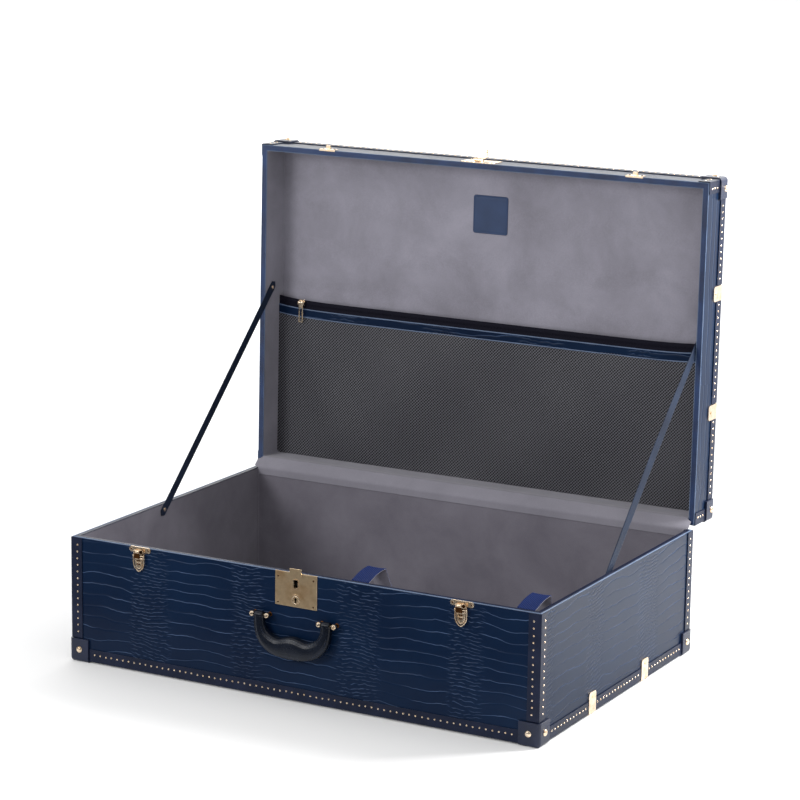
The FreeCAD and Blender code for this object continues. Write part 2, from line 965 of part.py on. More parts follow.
def make_hasp():
    half = S.hasp_plate_width / 2
    inner = S.hasp_width / 2 + S.seat_gap
    plate = sketched(
        "hasp_face",
        "XZ_Plane",
        skin_y,
        S.fitting_thick,
        [rectangle((-half, half), (lid_rim, lid_rim + S.hasp_plate_height))],
    )
    dress(plate, "Fillet", S.hasp_plate_round, lambda p, d: abs(d.y) > abs(d.x) + abs(d.z))
    pin = rod(
        "x",
        (hasp_y, hasp_z),
        S.small_pin_radius,
        -inner - S.lug_thick,
        inner + S.lug_thick,
    )
    ears = lugs(inner, hasp_y, hasp_z, -skin_y, S.lug_radius)
    keep_on_lid("hasp_plate", fuse(plate, *ears, pin))
    tip_z = hasp_z - S.hasp_length + S.hasp_width / 2
    strap = block(
        (-S.hasp_width / 2, S.hasp_width / 2),
        (hasp_y - S.hasp_thick / 2, hasp_y + S.hasp_thick / 2),
        (tip_z, hasp_z),
    )
    thick = S.hasp_thick / 2
    tip = bar("y", (0, tip_z), S.hasp_width / 2, hasp_y - thick, hasp_y + thick)
    barrel_half = S.hasp_width / 2
    barrel = bar("x", (hasp_y, hasp_z), S.hasp_barrel_radius, -barrel_half, barrel_half)
    eye_y = staple_eye_y()
    staple_half = S.staple_thick / 2
    staple = block(
        (-staple_half, staple_half),
        (hasp_y, eye_y),
        (slot_z - S.staple_radius, slot_z + S.staple_radius),
    )
    bow = bar("x", (eye_y, slot_z), S.staple_radius, -staple_half, staple_half)
    reach = staple_half + S.overrun
    eye = bar("x", (eye_y, slot_z), S.staple_eye_radius, -reach, reach)
    bore = bar("x", (hasp_y, hasp_z), S.small_pin_radius + S.running_gap, -half, half)
    hasp = group(cut(fuse(strap, tip, barrel, staple, bow), eye, bore))
    keep_on_lid("hasp", turn(hasp, S.hasp_rest_angle, hasp_y, hasp_z))


# Draw latches: plate, lever and loop on the base, hook on the lid

latch_y = -skin_y - S.fitting_thick - S.barrel_radius - S.seat_gap
latch_z = rim - S.latch_axis_drop
loop_z = latch_z - S.loop_pin_drop


def shield(centre, half, top, shoulder, tip):
    """A face with square shoulders above and a rounded point below, in the plane y = 0."""
    x, h = float(centre), float(half)
    high, bend, low = float(top), float(shoulder), float(tip)
    rise = bend - low
    belly_share, belly_rise_share = 0.74, 0.30
    left_belly = Vector(x - h * belly_share, 0, low + rise * belly_rise_share)
    right_belly = Vector(x + h * belly_share, 0, low + rise * belly_rise_share)
    start, end = Vector(x - h, 0, bend), Vector(x + h, 0, bend)
    point = Vector(x, 0, low)
    edges = [
        Part.LineSegment(Vector(x - h, 0, high), start).toShape(),
        Part.Arc(start, left_belly, point).toShape(),
        Part.Arc(point, right_belly, end).toShape(),
        Part.LineSegment(end, Vector(x + h, 0, high)).toShape(),
        Part.LineSegment(Vector(x + h, 0, high), Vector(x - h, 0, high)).toShape(),
    ]
    return Part.Face(Part.Wire(edges))


def slab(face, low, high):
    """A face in the plane y = 0 thickened from low to high in y."""
    solid = face.extrude(Vector(0, float(high) - float(low), 0))
    solid.translate(Vector(0, float(low), 0))
    return solid


def x_rod(y, z, radius, low, high):
    """A plain cylinder along X for shapes that Part's functions make."""
    start = Vector(float(low), float(y), float(z))
    return Part.makeCylinder(float(radius), float(high) - float(low), start, Vector(1, 0, 0))


def ring_points(centre, across, up, radius_across, radius_up):
    """The corners of an even-sided ring about a centre, closed; its flats touch both radii."""
    sides = int(S.flats.number)
    swell = 1 / math.cos(math.pi / sides)
    points = []
    for number in range(sides + 1):
        angle = 2 * math.pi * (number + 0.5) / sides
        points.append(
            centre
            + across * (radius_across * swell * math.cos(angle))
            + up * (radius_up * swell * math.sin(angle))
        )
    return points


def faceted(rings):
    """A solid with flat triangles from each closed ring of points to the next one."""
    faces = [Part.Face(Part.makePolygon(ring)) for ring in (rings[0], rings[-1])]
    for one, two in zip(rings, rings[1:]):
        for number in range(len(one) - 1):
            far = number + 1
            for corners in ((one[number], one[far], two[far]), (one[number], two[far], two[number])):
                faces.append(Part.Face(Part.makePolygon([*corners, corners[0]])))
    solid = Part.Solid(Part.makeShell(faces))
    if solid.Volume < 0:
        solid.reverse()
    return solid


def ball(x, y, z, radius):
    """A ball head with flat facets between seven rings round X."""
    steps = 8
    size = float(radius)
    rings = []
    for step in range(1, steps):
        angle = math.pi * step / steps
        centre = Vector(float(x) - size * math.cos(angle), float(y), float(z))
        reach = size * math.sin(angle)
        rings.append(ring_points(centre, Vector(0, 1, 0), Vector(0, 0, 1), reach, reach))
    return drawn("ball", faceted(rings))


def x_bar(y, z, radius, low, high):
    """A bar along X with even flats at the radius, for shapes that Part's functions make."""
    start = Vector(float(low), float(y), float(z))
    size = float(radius)
    points = ring_points(start, Vector(0, 1, 0), Vector(0, 0, 1), size, size)
    return Part.Face(Part.makePolygon(points)).extrude(Vector(float(high) - float(low), 0, 0))


def latch_plate(centre):
    """Eared flange at the rim, tail below it, and the two lugs with the lever's pin."""
    half = S.flange_width / 2
    ear = S.flange_height / 2
    tail = S.latch_tail_width / 2
    step = ear / 2
    low = plate_top - S.flange_height
    foot = plate_top - S.latch_tail_height
    outline = [
        (centre - half, plate_top),
        (centre - half, low + step),
        (centre - half + step, low),
        (centre - tail, low),
        (centre - tail, foot + tail),
        (centre, foot),
        (centre + tail, foot + tail),
        (centre + tail, low),
        (centre + half - step, low),
        (centre + half, low + step),
        (centre + half, plate_top),
    ]
    body = sketched("latch_face", "XZ_Plane", skin_y, S.fitting_thick, [outline])
    inner = S.barrel_width / 2 + S.seat_gap
    pieces = [body]
    for side in (-1, 1):
        ends = (centre + side * inner, centre + side * (inner + S.lug_thick))
        span = ends if side > 0 else ends[::-1]
        pieces.append(bar("x", (latch_y, latch_z), S.lug_radius, *span))
        pieces.append(
            block(span, (latch_y, -skin_y), (latch_z - S.lug_radius, latch_z + S.lug_radius))
        )
    pieces.append(
        rod(
            "x",
            (latch_y, latch_z),
            S.small_pin_radius,
            centre - inner - S.lug_thick,
            centre + inner + S.lug_thick,
        )
    )
    return fuse(*pieces)


def latch_lever(centre):
    """The lever: barrel, arm, shield-shaped thumb piece and the pin that carries the loop."""
    half = float(S.barrel_width) / 2
    x = float(centre)
    shape = x_bar(latch_y, latch_z, S.barrel_radius, x - half, x + half)
    arm_foot = latch_z - S.lever_arm_length
    arm = Part.makeBox(
        float(S.barrel_width),
        float(S.lever_arm_thick),
        float(latch_z - arm_foot),
        Vector(x - half, float(latch_y - S.lever_arm_thick / 2), float(arm_foot)),
    )
    back = -skin_y - S.fitting_thick - S.side_gap
    thumb = slab(
        shield(
            centre,
            S.lever_width / 2,
            arm_foot,
            latch_z - S.lever_shoulder,
            latch_z - S.lever_length,
        ),
        back - S.lever_thick,
        back,
    )
    reach = float(S.loop_width) / 2
    pin = x_rod(latch_y, loop_z, S.small_pin_radius, x - reach, x + reach)
    boss = x_bar(latch_y, loop_z, S.small_pin_radius * 2, x - half, x + half)
    bore = x_bar(latch_y, latch_z, S.small_pin_radius + S.running_gap, x - reach, x + reach)
    shape = shape.fuse([arm, thumb, pin, boss]).cut(bore).removeSplitter()
    return drawn("latch_lever", shape)


def latch_loop(centre):
    """The draw loop: a flat bail with eyes on the lever's pin and a rounded point."""
    half = S.loop_width / 2
    x = float(centre)
    bend = loop_z - S.loop_straight
    outer = shield(centre, half, loop_z, bend, loop_z - S.loop_length)
    inner = shield(
        centre,
        half - S.loop_wire,
        loop_z + S.overrun,
        bend,
        loop_z - S.loop_length + S.loop_wire,
    )
    thick = S.loop_wire / 2
    shape = slab(outer, latch_y - thick, latch_y + thick)
    shape = shape.cut(slab(inner, latch_y - S.overrun, latch_y + S.overrun))
    for side in (-1, 1):
        ends = sorted((x + side * float(half), x + side * float(half - S.loop_wire)))
        shape = shape.fuse(x_bar(latch_y, loop_z, S.loop_eye_radius, *ends))
    reach = float(half + S.overrun)
    bore = x_bar(latch_y, loop_z, S.small_pin_radius + S.running_gap, x - reach, x + reach)
    return drawn("latch_loop", shape.cut(bore).removeSplitter())


def latch_catch(centre):
    """The lid's half of a latch: a small plate with a lip and a hook for the loop."""
    half = S.catch_width / 2
    front = -skin_y - S.fitting_thick
    body = sketched(
        "catch_face",
        "XZ_Plane",
        skin_y,
        S.fitting_thick,
        [rectangle((centre - half, centre + half), (lid_rim, lid_rim + S.catch_height))],
    )
    dress(
        body,
        "Fillet",
        S.catch_height / 4,
        lambda p, d: near(p.z, lid_rim + S.catch_height) and abs(d.y) > abs(d.x),
    )
    lip = block(
        (centre - half, centre + half),
        (front, front + S.catch_lip_reach),
        (lid_rim - S.lip_thick, lid_rim),
    )
    hook_half = S.catch_hook_width / 2
    hook = block(
        (centre - hook_half, centre + hook_half),
        (-skin_y - S.catch_hook_proud, -skin_y),
        (lid_rim + S.catch_hook_low, lid_rim + S.catch_hook_high),
    )
    return fuse(body, lip, hook)


def make_latches():
    for name, side in (("left", -1), ("right", 1)):
        centre = side * (half_width - S.latch_inset)
        keep(f"{name}_latch_plate", latch_plate(centre))
        keep(f"{name}_latch_lever", latch_lever(centre))
        keep(f"{name}_latch_loop", latch_loop(centre))
        keep_on_lid(f"{name}_latch_catch", latch_catch(centre))


# The handle: two pairs of ball-headed posts with a bar between, and the leather grip

handle_y = -skin_y - S.handle_standoff
handle_z = rim - S.handle_drop


def handle_mount(side):
    """Two posts with ball heads, their feet on the leather, joined by the bar."""
    centre = side * S.handle_spread
    half = S.ball_spacing / 2
    pieces = [bar("x", (handle_y, handle_z), S.bar_radius, centre - half, centre + half)]
    for end in (centre - half, centre + half):
        pieces.append(ball(end, handle_y, handle_z, S.ball_radius))
        foot = -skin_y - S.post_foot_thick
        pieces.append(bar("y", (end, handle_z), S.post_radius, handle_y, foot))
        pieces.append(bar("y", (end, handle_z), S.post_foot_radius, foot, -skin_y))
    return fuse(*pieces)


def grip_station(turn_angle):
    """Centre, outward direction and half sizes of the grip's section at an angle round its U."""
    # The centre line is a rounded square-shouldered curve: this power sets how square
    power = 2.7
    middle = float(S.grip_drop - S.grip_height / 2)
    reach = float(S.handle_spread)
    cos_turn, sin_turn = math.cos(turn_angle), math.sin(turn_angle)
    x_share = math.copysign(abs(cos_turn) ** (2 / power), cos_turn)
    z_share = abs(sin_turn) ** (2 / power)
    centre = Vector(reach * x_share, float(handle_y), float(handle_z) - middle * z_share)
    lean_x = math.copysign(abs(x_share) ** (power - 1), x_share) / reach
    lean_z = -(z_share ** (power - 1)) / middle
    outward = Vector(lean_x, 0, lean_z).normalize()
    # The stuffing fills out below the arms and humps in the middle
    fill_share = max(0, 1 - abs(x_share) ** 4)
    hump_share = max(0, 1 - (x_share / 0.55) ** 2) ** 2
    full = float(S.grip_height - S.grip_hump)
    length = float(S.arm_width) + (full - float(S.arm_width)) * fill_share
    inward = float(S.grip_hump) * hump_share / 2
    depth = float(S.arm_depth) + float(S.grip_depth - S.arm_depth) * fill_share
    return centre - outward * inward, outward, length / 2 + inward, depth / 2


def handle_grip():
    """The stuffed grip: rings along a U that thicken to the middle, and an eye on each bar."""
    stations = 18
    rings = []
    for number in range(stations + 1):
        centre, outward, length, depth = grip_station(math.pi * number / stations)
        rings.append(ring_points(centre, outward, Vector(0, 1, 0), length, depth))
    shape = faceted(rings)
    half = float(S.handle_end_width) / 2
    for side in (-1, 1):
        x = side * float(S.handle_spread)
        eye = x_bar(handle_y, handle_z, S.handle_end_radius, x - half, x + half)
        shape = shape.fuse(eye)
    reach = float(S.handle_spread) + half + float(S.overrun)
    bore = x_rod(handle_y, handle_z, S.bar_radius * corner_swell + S.running_gap, -reach, reach)
    return drawn("handle", shape.cut(bore))


def make_handle():
    keep("handle_left_mount", handle_mount(-1))
    keep("handle_right_mount", handle_mount(1))
    keep("handle_grip", handle_grip())


# Soft pieces


def banded(points, thick, low, high):
    """A strip of even thickness whose outline is worked out from its centre line, wide in X."""
    flat = [(float(y), float(z)) for y, z in points]
    half = float(thick) / 2
    upper, lower = [], []
    for number, (y, z) in enumerate(flat):
        before = flat[max(number - 1, 0)]
        after = flat[min(number + 1, len(flat) - 1)]
        one = unit(before, (y, z)) if number else unit((y, z), after)
        two = unit((y, z), after) if number < len(flat) - 1 else one
        lean_y, lean_z = one[0] + two[0], one[1] + two[1]
        size = math.hypot(lean_y, lean_z)
        normal = (-lean_z / size, lean_y / size)
        mitre = half / (normal[0] * -one[1] + normal[1] * one[0])
        upper.append((y + normal[0] * mitre, z + normal[1] * mitre))
        lower.append((y - normal[0] * mitre, z - normal[1] * mitre))
    outline = upper + lower[::-1]
    outline.append(outline[0])
    face = Part.Face(Part.makePolygon([Vector(float(low), y, z) for y, z in outline]))
    return face.extrude(Vector(float(high) - float(low), 0, 0))


def unit(start, end):
    """The direction from one (y, z) point to another."""
    y, z = end[0] - start[0], end[1] - start[1]
    size = math.hypot(y, z)
    return (y / size, z / size)


def arc_points(centre, radius, start, end, count):
    """Points (y, z) on an arc; angles in degrees from +Y towards +Z."""
    made = []
    for step in range(count + 1):
        angle = math.radians(start + (end - start) * step / count)
        made.append(
            (
                centre[0] + float(radius) * math.cos(angle),
                centre[1] + float(radius) * math.sin(angle),
            )
        )
    return made


def webbing(place):
    """A strap sewn inside the front wall that rises over the rim's height and hangs back in."""
    near_wall = -float(inner_y) + float(S.cloth_gap) + float(S.webbing_thick) / 2
    top = float(rim + S.webbing_rise)
    bend = float(S.webbing_bend)
    far = near_wall + float(S.webbing_reach)
    start = (near_wall, float(rim - S.webbing_anchor))
    lift = math.degrees(math.atan2(float(S.webbing_rise), float(S.webbing_reach)))
    first = arc_points((near_wall + bend, float(rim) - bend), bend, 180, 90 + lift, 4)
    last = arc_points((far - bend, top - bend), bend, 90 + lift, 0, 4)
    end = (far, float(rim - S.webbing_drop))
    half = float(S.webbing_width) / 2
    x = float(place)
    return drawn(
        "webbing", banded([start] + first + last + [end], S.webbing_thick, x - half, x + half)
    )


def open_point(y, z):
    """Where a (y, z) point of the shut lid lies on the open lid."""
    angle = math.radians(float(S.open_angle))
    across, up = float(y) - float(hinge_y), float(z) - float(hinge_z)
    return (
        float(hinge_y) + across * math.cos(angle) + up * math.sin(angle),
        float(hinge_z) - across * math.sin(angle) + up * math.cos(angle),
    )


def stay(side):
    """A leather strap from the base's side wall to the lid's, with a hole at each screw."""
    start = stay_base_point()
    end = stay_lid_point()
    length = math.hypot(end[0] - start[0], end[1] - start[1])
    half = float(S.stay_width) / 2
    over = float(S.stay_overhang)
    thick = float(S.stay_thick)
    turn_steps = 6
    outline = arc_points((0, length + over - half), half, 0, 180, turn_steps)
    outline += arc_points((0, half - over), half, 180, 360, turn_steps)
    face = Part.Face(Part.makePolygon([Vector(0, y, z) for y, z in outline + outline[:1]]))
    strap = face.extrude(Vector(thick, 0, 0))
    for height in (0, length):
        strap = strap.cut(x_bar(0, height, S.screw_shank_radius + S.side_gap, 0, thick))
    lean = math.degrees(math.atan2(end[0] - start[0], end[1] - start[1]))
    gap = float(S.cloth_gap)
    x = float(inner_x) - gap - thick if side > 0 else -float(inner_x) + gap
    piece = drawn("stay", strap)
    piece.Placement = FreeCAD.Placement(
        Vector(x, start[0], start[1]), FreeCAD.Rotation(Vector(-1, 0, 0), lean)
    )
    return piece


def stay_base_point():
    return (float(half_depth - S.stay_base_place), float(rim - S.stay_base_drop))


def stay_lid_point():
    return open_point(half_depth - S.stay_lid_place, lid_rim + S.stay_lid_depth)


def stay_screw(side, y, z):
    """A screw into a side wall's face: its shank through the strap, its head over it."""
    face = side * inner_x
    under = face - side * (S.cloth_gap + S.stay_thick + S.side_gap)
    head = under - side * S.screw_head_thick
    shank_ends = (under, face) if side > 0 else (face, under)
    head_ends = (head, under) if side > 0 else (under, head)
    return fuse(
        bar("x", (y, z), S.screw_shank_radius, *shank_ends),
        bar("x", (y, z), S.screw_radius, *head_ends),
    )


def hinge_cover():
    """The suede that runs from the base's back wall over both rims into the lid."""
    thick = float(S.cover_thick)
    gap = float(S.cloth_gap) + thick / 2
    start_y = float(inner_y) - gap
    low = (start_y, float(rim - S.cover_tuck))
    crest = (start_y, float(rim) + gap)
    rim_corner = open_point(inner_y, lid_rim)
    lip = (rim_corner[0] - gap, rim_corner[1] + gap)
    far = open_point(inner_y, lid_rim + S.cover_lap)
    end = (far[0], far[1] + gap)
    middle_share = 0.5
    belly = (
        crest[0] + (lip[0] - crest[0]) * middle_share - thick,
        crest[1] + (lip[1] - crest[1]) * middle_share + thick,
    )
    half = float(inner_x) - float(S.cloth_gap)
    return drawn("cover", banded([low, crest, belly, lip, end], S.cover_thick, -half, half))


def make_soft_pieces():
    keep("webbing_strap_centre", webbing(S.webbing_centre_place))
    keep("webbing_strap_right", webbing(half_width - S.webbing_right_inset))
    keep("left_stay_strap", stay(-1))
    keep("right_stay_strap", stay(1))
    keep("hinge_cover", hinge_cover())


def make_stay_screws():
    base_place = (half_depth - S.stay_base_place, rim - S.stay_base_drop)
    lid_place = (half_depth - S.stay_lid_place, lid_rim + S.stay_lid_depth)
    keep("base_stay_screws", group(*[stay_screw(side, *base_place) for side in (-1, 1)]))
    keep_on_lid("lid_stay_screws", *[stay_screw(side, *lid_place) for side in (-1, 1)])


# The lid's lining fittings: label patch and zipped mesh pocket, drawn on the shut lid

pocket_back = inner_y - S.cloth_gap
pocket_top = pocket_back - S.pocket_height
mesh_low = lid_ceiling - S.pocket_depth


def make_label():
    half = S.label_width / 2
    centre = S.label_inset - half_depth
    body = sketched(
        "label",
        "XY_Plane",
        lid_ceiling - S.label_thick,
        S.label_thick,
        [rectangle((-half, half), (centre - half, centre + half))],
    )
    dress(body, "Fillet", S.label_round, lambda p, d: abs(d.z) > abs(d.x) + abs(d.y))
    keep_on_lid("label_patch", body)


def make_pocket():
    half = inner_x - S.cloth_gap
    band_edge = pocket_top - S.band_width
    zip_edge = band_edge - S.zip_width
    keep_on_lid("pocket_mesh", pocket_net(half))
    band = block((-half, half), (band_edge, pocket_top), (mesh_low, mesh_low + S.band_thick))
    keep_on_lid("pocket_band", band)
    tape_low = mesh_low + S.zip_tooth_height
    tape = block((-half, half), (zip_edge, band_edge), (tape_low, tape_low + S.mesh_thick))
    tape_hem = block((-half, half), (zip_edge, zip_edge + S.mesh_thick), (tape_low, lid_ceiling))
    tooth_y = (zip_edge + band_edge) / 2
    teeth = block(
        (-half, half),
        (tooth_y - S.zip_tooth_width / 2, tooth_y + S.zip_tooth_width / 2),
        (mesh_low, mesh_low + S.zip_tooth_height),
    )
    keep_on_lid("pocket_zip", fuse(tape, tape_hem, teeth))
    make_slider(tooth_y)


def net_swell(across, down):
    """How far the net stands out of its plane, as a share of its fold height, at shares across
    and down it: two slanting folds that die away at the edges."""
    fade = (1 - across**8) * math.sin(math.pi * down)
    return fade * math.sin(2 * math.pi * (1.2 * across + 0.45 * down))


def pocket_net(half):
    """The net: a thin sheet in soft slanting folds, from sections across the pocket."""
    stations, steps = 24, 6
    low, thick = float(mesh_low + S.mesh_thick), float(S.mesh_thick)
    sections = []
    for station in range(stations + 1):
        across = 2 * station / stations - 1
        top, under = [], []
        for step in range(steps + 1):
            down = step / steps
            y = float(pocket_top) + float(pocket_back - pocket_top) * down
            swell = float(S.net_fold) * net_swell(across, down)
            top.append(Vector(float(half) * across, y, low + swell))
            under.append(Vector(float(half) * across, y, low + swell - thick))
        outline = top + under[::-1]
        sections.append(Part.makePolygon(outline + outline[:1]))
    return drawn("net", Part.makeLoft(sections, True, True))


def make_slider(tooth_y):
    """The slider over the teeth with its bridge, and the pull on the bridge's bar."""
    length = S.slider_length / 2
    width = S.slider_width / 2
    centre = S.slider_inset - half_width
    low = mesh_low - S.slider_thick
    pull_y, pull_z = pull_axis(tooth_y)
    body = block(
        (centre - length, centre + length),
        (tooth_y - width, tooth_y + width),
        (low + S.slider_thick / 3, mesh_low - S.seat_gap),
    )
    cheek = S.slider_thick / 2
    bar_half = S.pull_width / 2 + cheek + S.side_gap
    pieces = [body, rod("x", (pull_y, pull_z), S.small_pin_radius, centre - bar_half, centre + bar_half)]
    for side in (-1, 1):
        outer = centre + side * bar_half
        inner = centre + side * (bar_half - cheek)
        span = (inner, outer) if side > 0 else (outer, inner)
        pieces.append(
            block(
                span,
                (pull_y - S.small_pin_radius, tooth_y + width),
                (pull_z - S.small_pin_radius, mesh_low - S.seat_gap),
            )
        )
    keep_on_lid("zip_slider", fuse(*pieces))
    half = S.pull_width / 2
    plate = block(
        (centre - half, centre + half),
        (pull_y, pull_y + S.pull_length),
        (pull_z - S.pull_thick / 2, pull_z + S.pull_thick / 2),
    )
    eye = bar("x", (pull_y, pull_z), S.small_pin_radius * 2, centre - half, centre + half)
    window_half = S.pull_window_width / 2
    far = pull_y + S.pull_length - (S.pull_width - S.pull_window_width) / 2
    window = block(
        (centre - window_half, centre + window_half),
        (far - S.pull_window_length, far),
        (pull_z - S.overrun, pull_z + S.overrun),
    )
    bore_radius = S.small_pin_radius + S.running_gap
    bore = bar("x", (pull_y, pull_z), bore_radius, centre - bar_half, centre + bar_half)
    keep_on_lid("zip_pull", cut(fuse(plate, eye), window, bore))


def pull_axis(tooth_y):
    """The line of the slider's bar: y and z on the shut lid."""
    return tooth_y, mesh_low - S.slider_thick - S.small_pin_radius * 2


def check():
    """Stop if any object failed or any sub-part has no sound solid."""
    doc.recompute()
    for item in doc.Objects:
        if "Invalid" in item.State or "Error" in item.State:
            raise RuntimeError(f"{item.Label} failed: {item.State}")
    for node in NODES:
        if node.Shape.isNull() or not node.Shape.isValid() or not node.Shape.Solids:
            raise RuntimeError(f"{node.Label} has no valid solid")


def export():
    os.makedirs("parts", exist_ok=True)
    for node in NODES:
        node.Shape.exportStep(os.path.join("parts", f"{node.Label}.step"))


make_base_box()
make_lid_box()
make_trims()
make_caps()
make_clips()
make_hinges()
make_lock()
make_hasp()
make_latches()
make_handle()
make_soft_pieces()
make_stay_screws()
make_label()
make_pocket()
check()
export()
print(len(NODES), "sub-parts written")
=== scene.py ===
"""Looks of the leather travel trunk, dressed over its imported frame.

Sizes are in millimetres in the part's frame: the front faces -Y, width runs along X and the
floor is z = 0. Pieces of the lid are drawn with the lid shut and then swung open with it.
"""

import logging
import math
import random
from dataclasses import dataclass
from enum import Enum
from functools import partial
from typing import Any, Callable, Iterable, Mapping, Optional, Sequence, Union

import bmesh
import bpy
from mathutils import Matrix, Vector

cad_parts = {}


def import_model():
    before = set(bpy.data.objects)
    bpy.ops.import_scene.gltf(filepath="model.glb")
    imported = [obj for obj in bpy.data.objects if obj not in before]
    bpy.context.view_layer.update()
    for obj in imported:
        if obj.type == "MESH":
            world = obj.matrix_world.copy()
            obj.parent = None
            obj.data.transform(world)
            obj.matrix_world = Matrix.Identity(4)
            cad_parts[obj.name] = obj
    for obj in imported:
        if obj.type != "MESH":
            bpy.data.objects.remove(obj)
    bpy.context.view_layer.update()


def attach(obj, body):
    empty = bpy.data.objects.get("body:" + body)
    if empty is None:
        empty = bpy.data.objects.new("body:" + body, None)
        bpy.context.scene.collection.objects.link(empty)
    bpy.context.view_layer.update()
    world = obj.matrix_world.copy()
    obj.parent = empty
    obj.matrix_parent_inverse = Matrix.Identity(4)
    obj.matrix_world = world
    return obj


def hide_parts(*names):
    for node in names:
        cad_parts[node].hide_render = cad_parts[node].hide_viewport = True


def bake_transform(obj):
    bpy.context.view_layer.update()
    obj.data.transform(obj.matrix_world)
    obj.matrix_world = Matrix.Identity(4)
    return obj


log = logging.getLogger("trunk")

MM = 0.001
TURN = 2 * math.pi
# Faces that meet at fewer degrees shade as one; points this near in millimetres are welded.
SMOOTH = 38.0
WELD = 0.0005
NODE_WELD = 0.01
LID = "trunk_lid"
BASE = "trunk_base"
Pair = tuple[float, float]
Point = Sequence[float]
Ring = Sequence[Vector]
Node = bpy.types.Node
Socket = bpy.types.NodeSocket
NodeMaker = Callable[..., Node]


def linear(colour: str) -> tuple[float, float, float, float]:
    """Turns an sRGB hex colour to linear light.

    Args:
        colour: six hex digits after a hash sign.

    Returns:
        Linear red, green and blue, and a full alpha.
    """
    shares = [int(colour[place:place + 2], 16) / 255 for place in (1, 3, 5)]
    made = [s / 12.92 if s <= 0.04045 else ((s + 0.055) / 1.055) ** 2.4 for s in shares]
    return (made[0], made[1], made[2], 1.0)


def add_node(
    tree: bpy.types.NodeTree, kind: str,
    inputs: Optional[Mapping[Union[int, str], Any]] = None, **settings: Any,
) -> Node:
    """Adds a node with its settings and links.

    Args:
        tree: the tree that gets the node.
        kind: the node's type after "ShaderNode".
        inputs: a value, a socket, or a node for its first output, by input name or number.
        settings: the node's own properties by name.

    Returns:
        The new node.
    """
    node = tree.nodes.new("ShaderNode" + kind)
    for name, value in settings.items():
        setattr(node, name, value)
    for name, value in (inputs or {}).items():
        if isinstance(value, Node):
            value = value.outputs[0]
        if isinstance(value, Socket):
            tree.links.new(value, node.inputs[name])
        else:
            node.inputs[name].default_value = value
    return node


@dataclass(frozen=True)
class Finish:
    """A finish: what a surface is made of, as a material that is built once."""

    name: str
    slot: str

    def material(self) -> bpy.types.Material:
        """Finds this finish's material, or builds it.

        Returns:
            The material.
        """
        made = bpy.data.materials.get(self.name)
        if made is None:
            made = bpy.data.materials.new(self.name)
            made.use_nodes = True
            made.node_tree.nodes.clear()
            node = partial(add_node, made.node_tree)
            node("OutputMaterial", {"Surface": self.build(node)})
        return made

    def build(self, node: NodeMaker) -> Node:
        """Builds the finish's nodes; each kind of finish has its own."""
        raise NotImplementedError

    def place(self, node: NodeMaker) -> Node:
        """Gives the place on the piece in millimetres."""
        where = node("TexCoord").outputs["Object"]
        return node("VectorMath", {"Vector": where, "Scale": 1 / MM}, operation="SCALE")

    def surface(
        self, node: NodeMaker, share: Any, colours: Sequence[Any], inputs: Mapping[str, Any],
        relief: Sequence[Any] = (),
    ) -> Node:
        """Mixes two colours, presses the relief and closes the shader.

        Args:
            node: adds a node to the material's tree.
            share: how much of the second colour shows.
            colours: the two, as hex colours or sockets.
            inputs: the shader's other inputs.
            relief: the height, the bump's strength and its depth in millimetres, if any.

        Returns:
            The shader node.
        """
        one, two = [linear(made) if isinstance(made, str) else made for made in colours]
        mixed = node("Mix", {0: share, 6: one, 7: two}, data_type="RGBA")
        made = {"Base Color": mixed.outputs[2], "Metallic": 0.0, **inputs}
        if relief:
            height, strength, depth = relief
            made["Normal"] = node(
                "Bump", {"Strength": strength, "Distance": depth * MM, "Height": height}
            )
        return node("BsdfPrincipled", made)


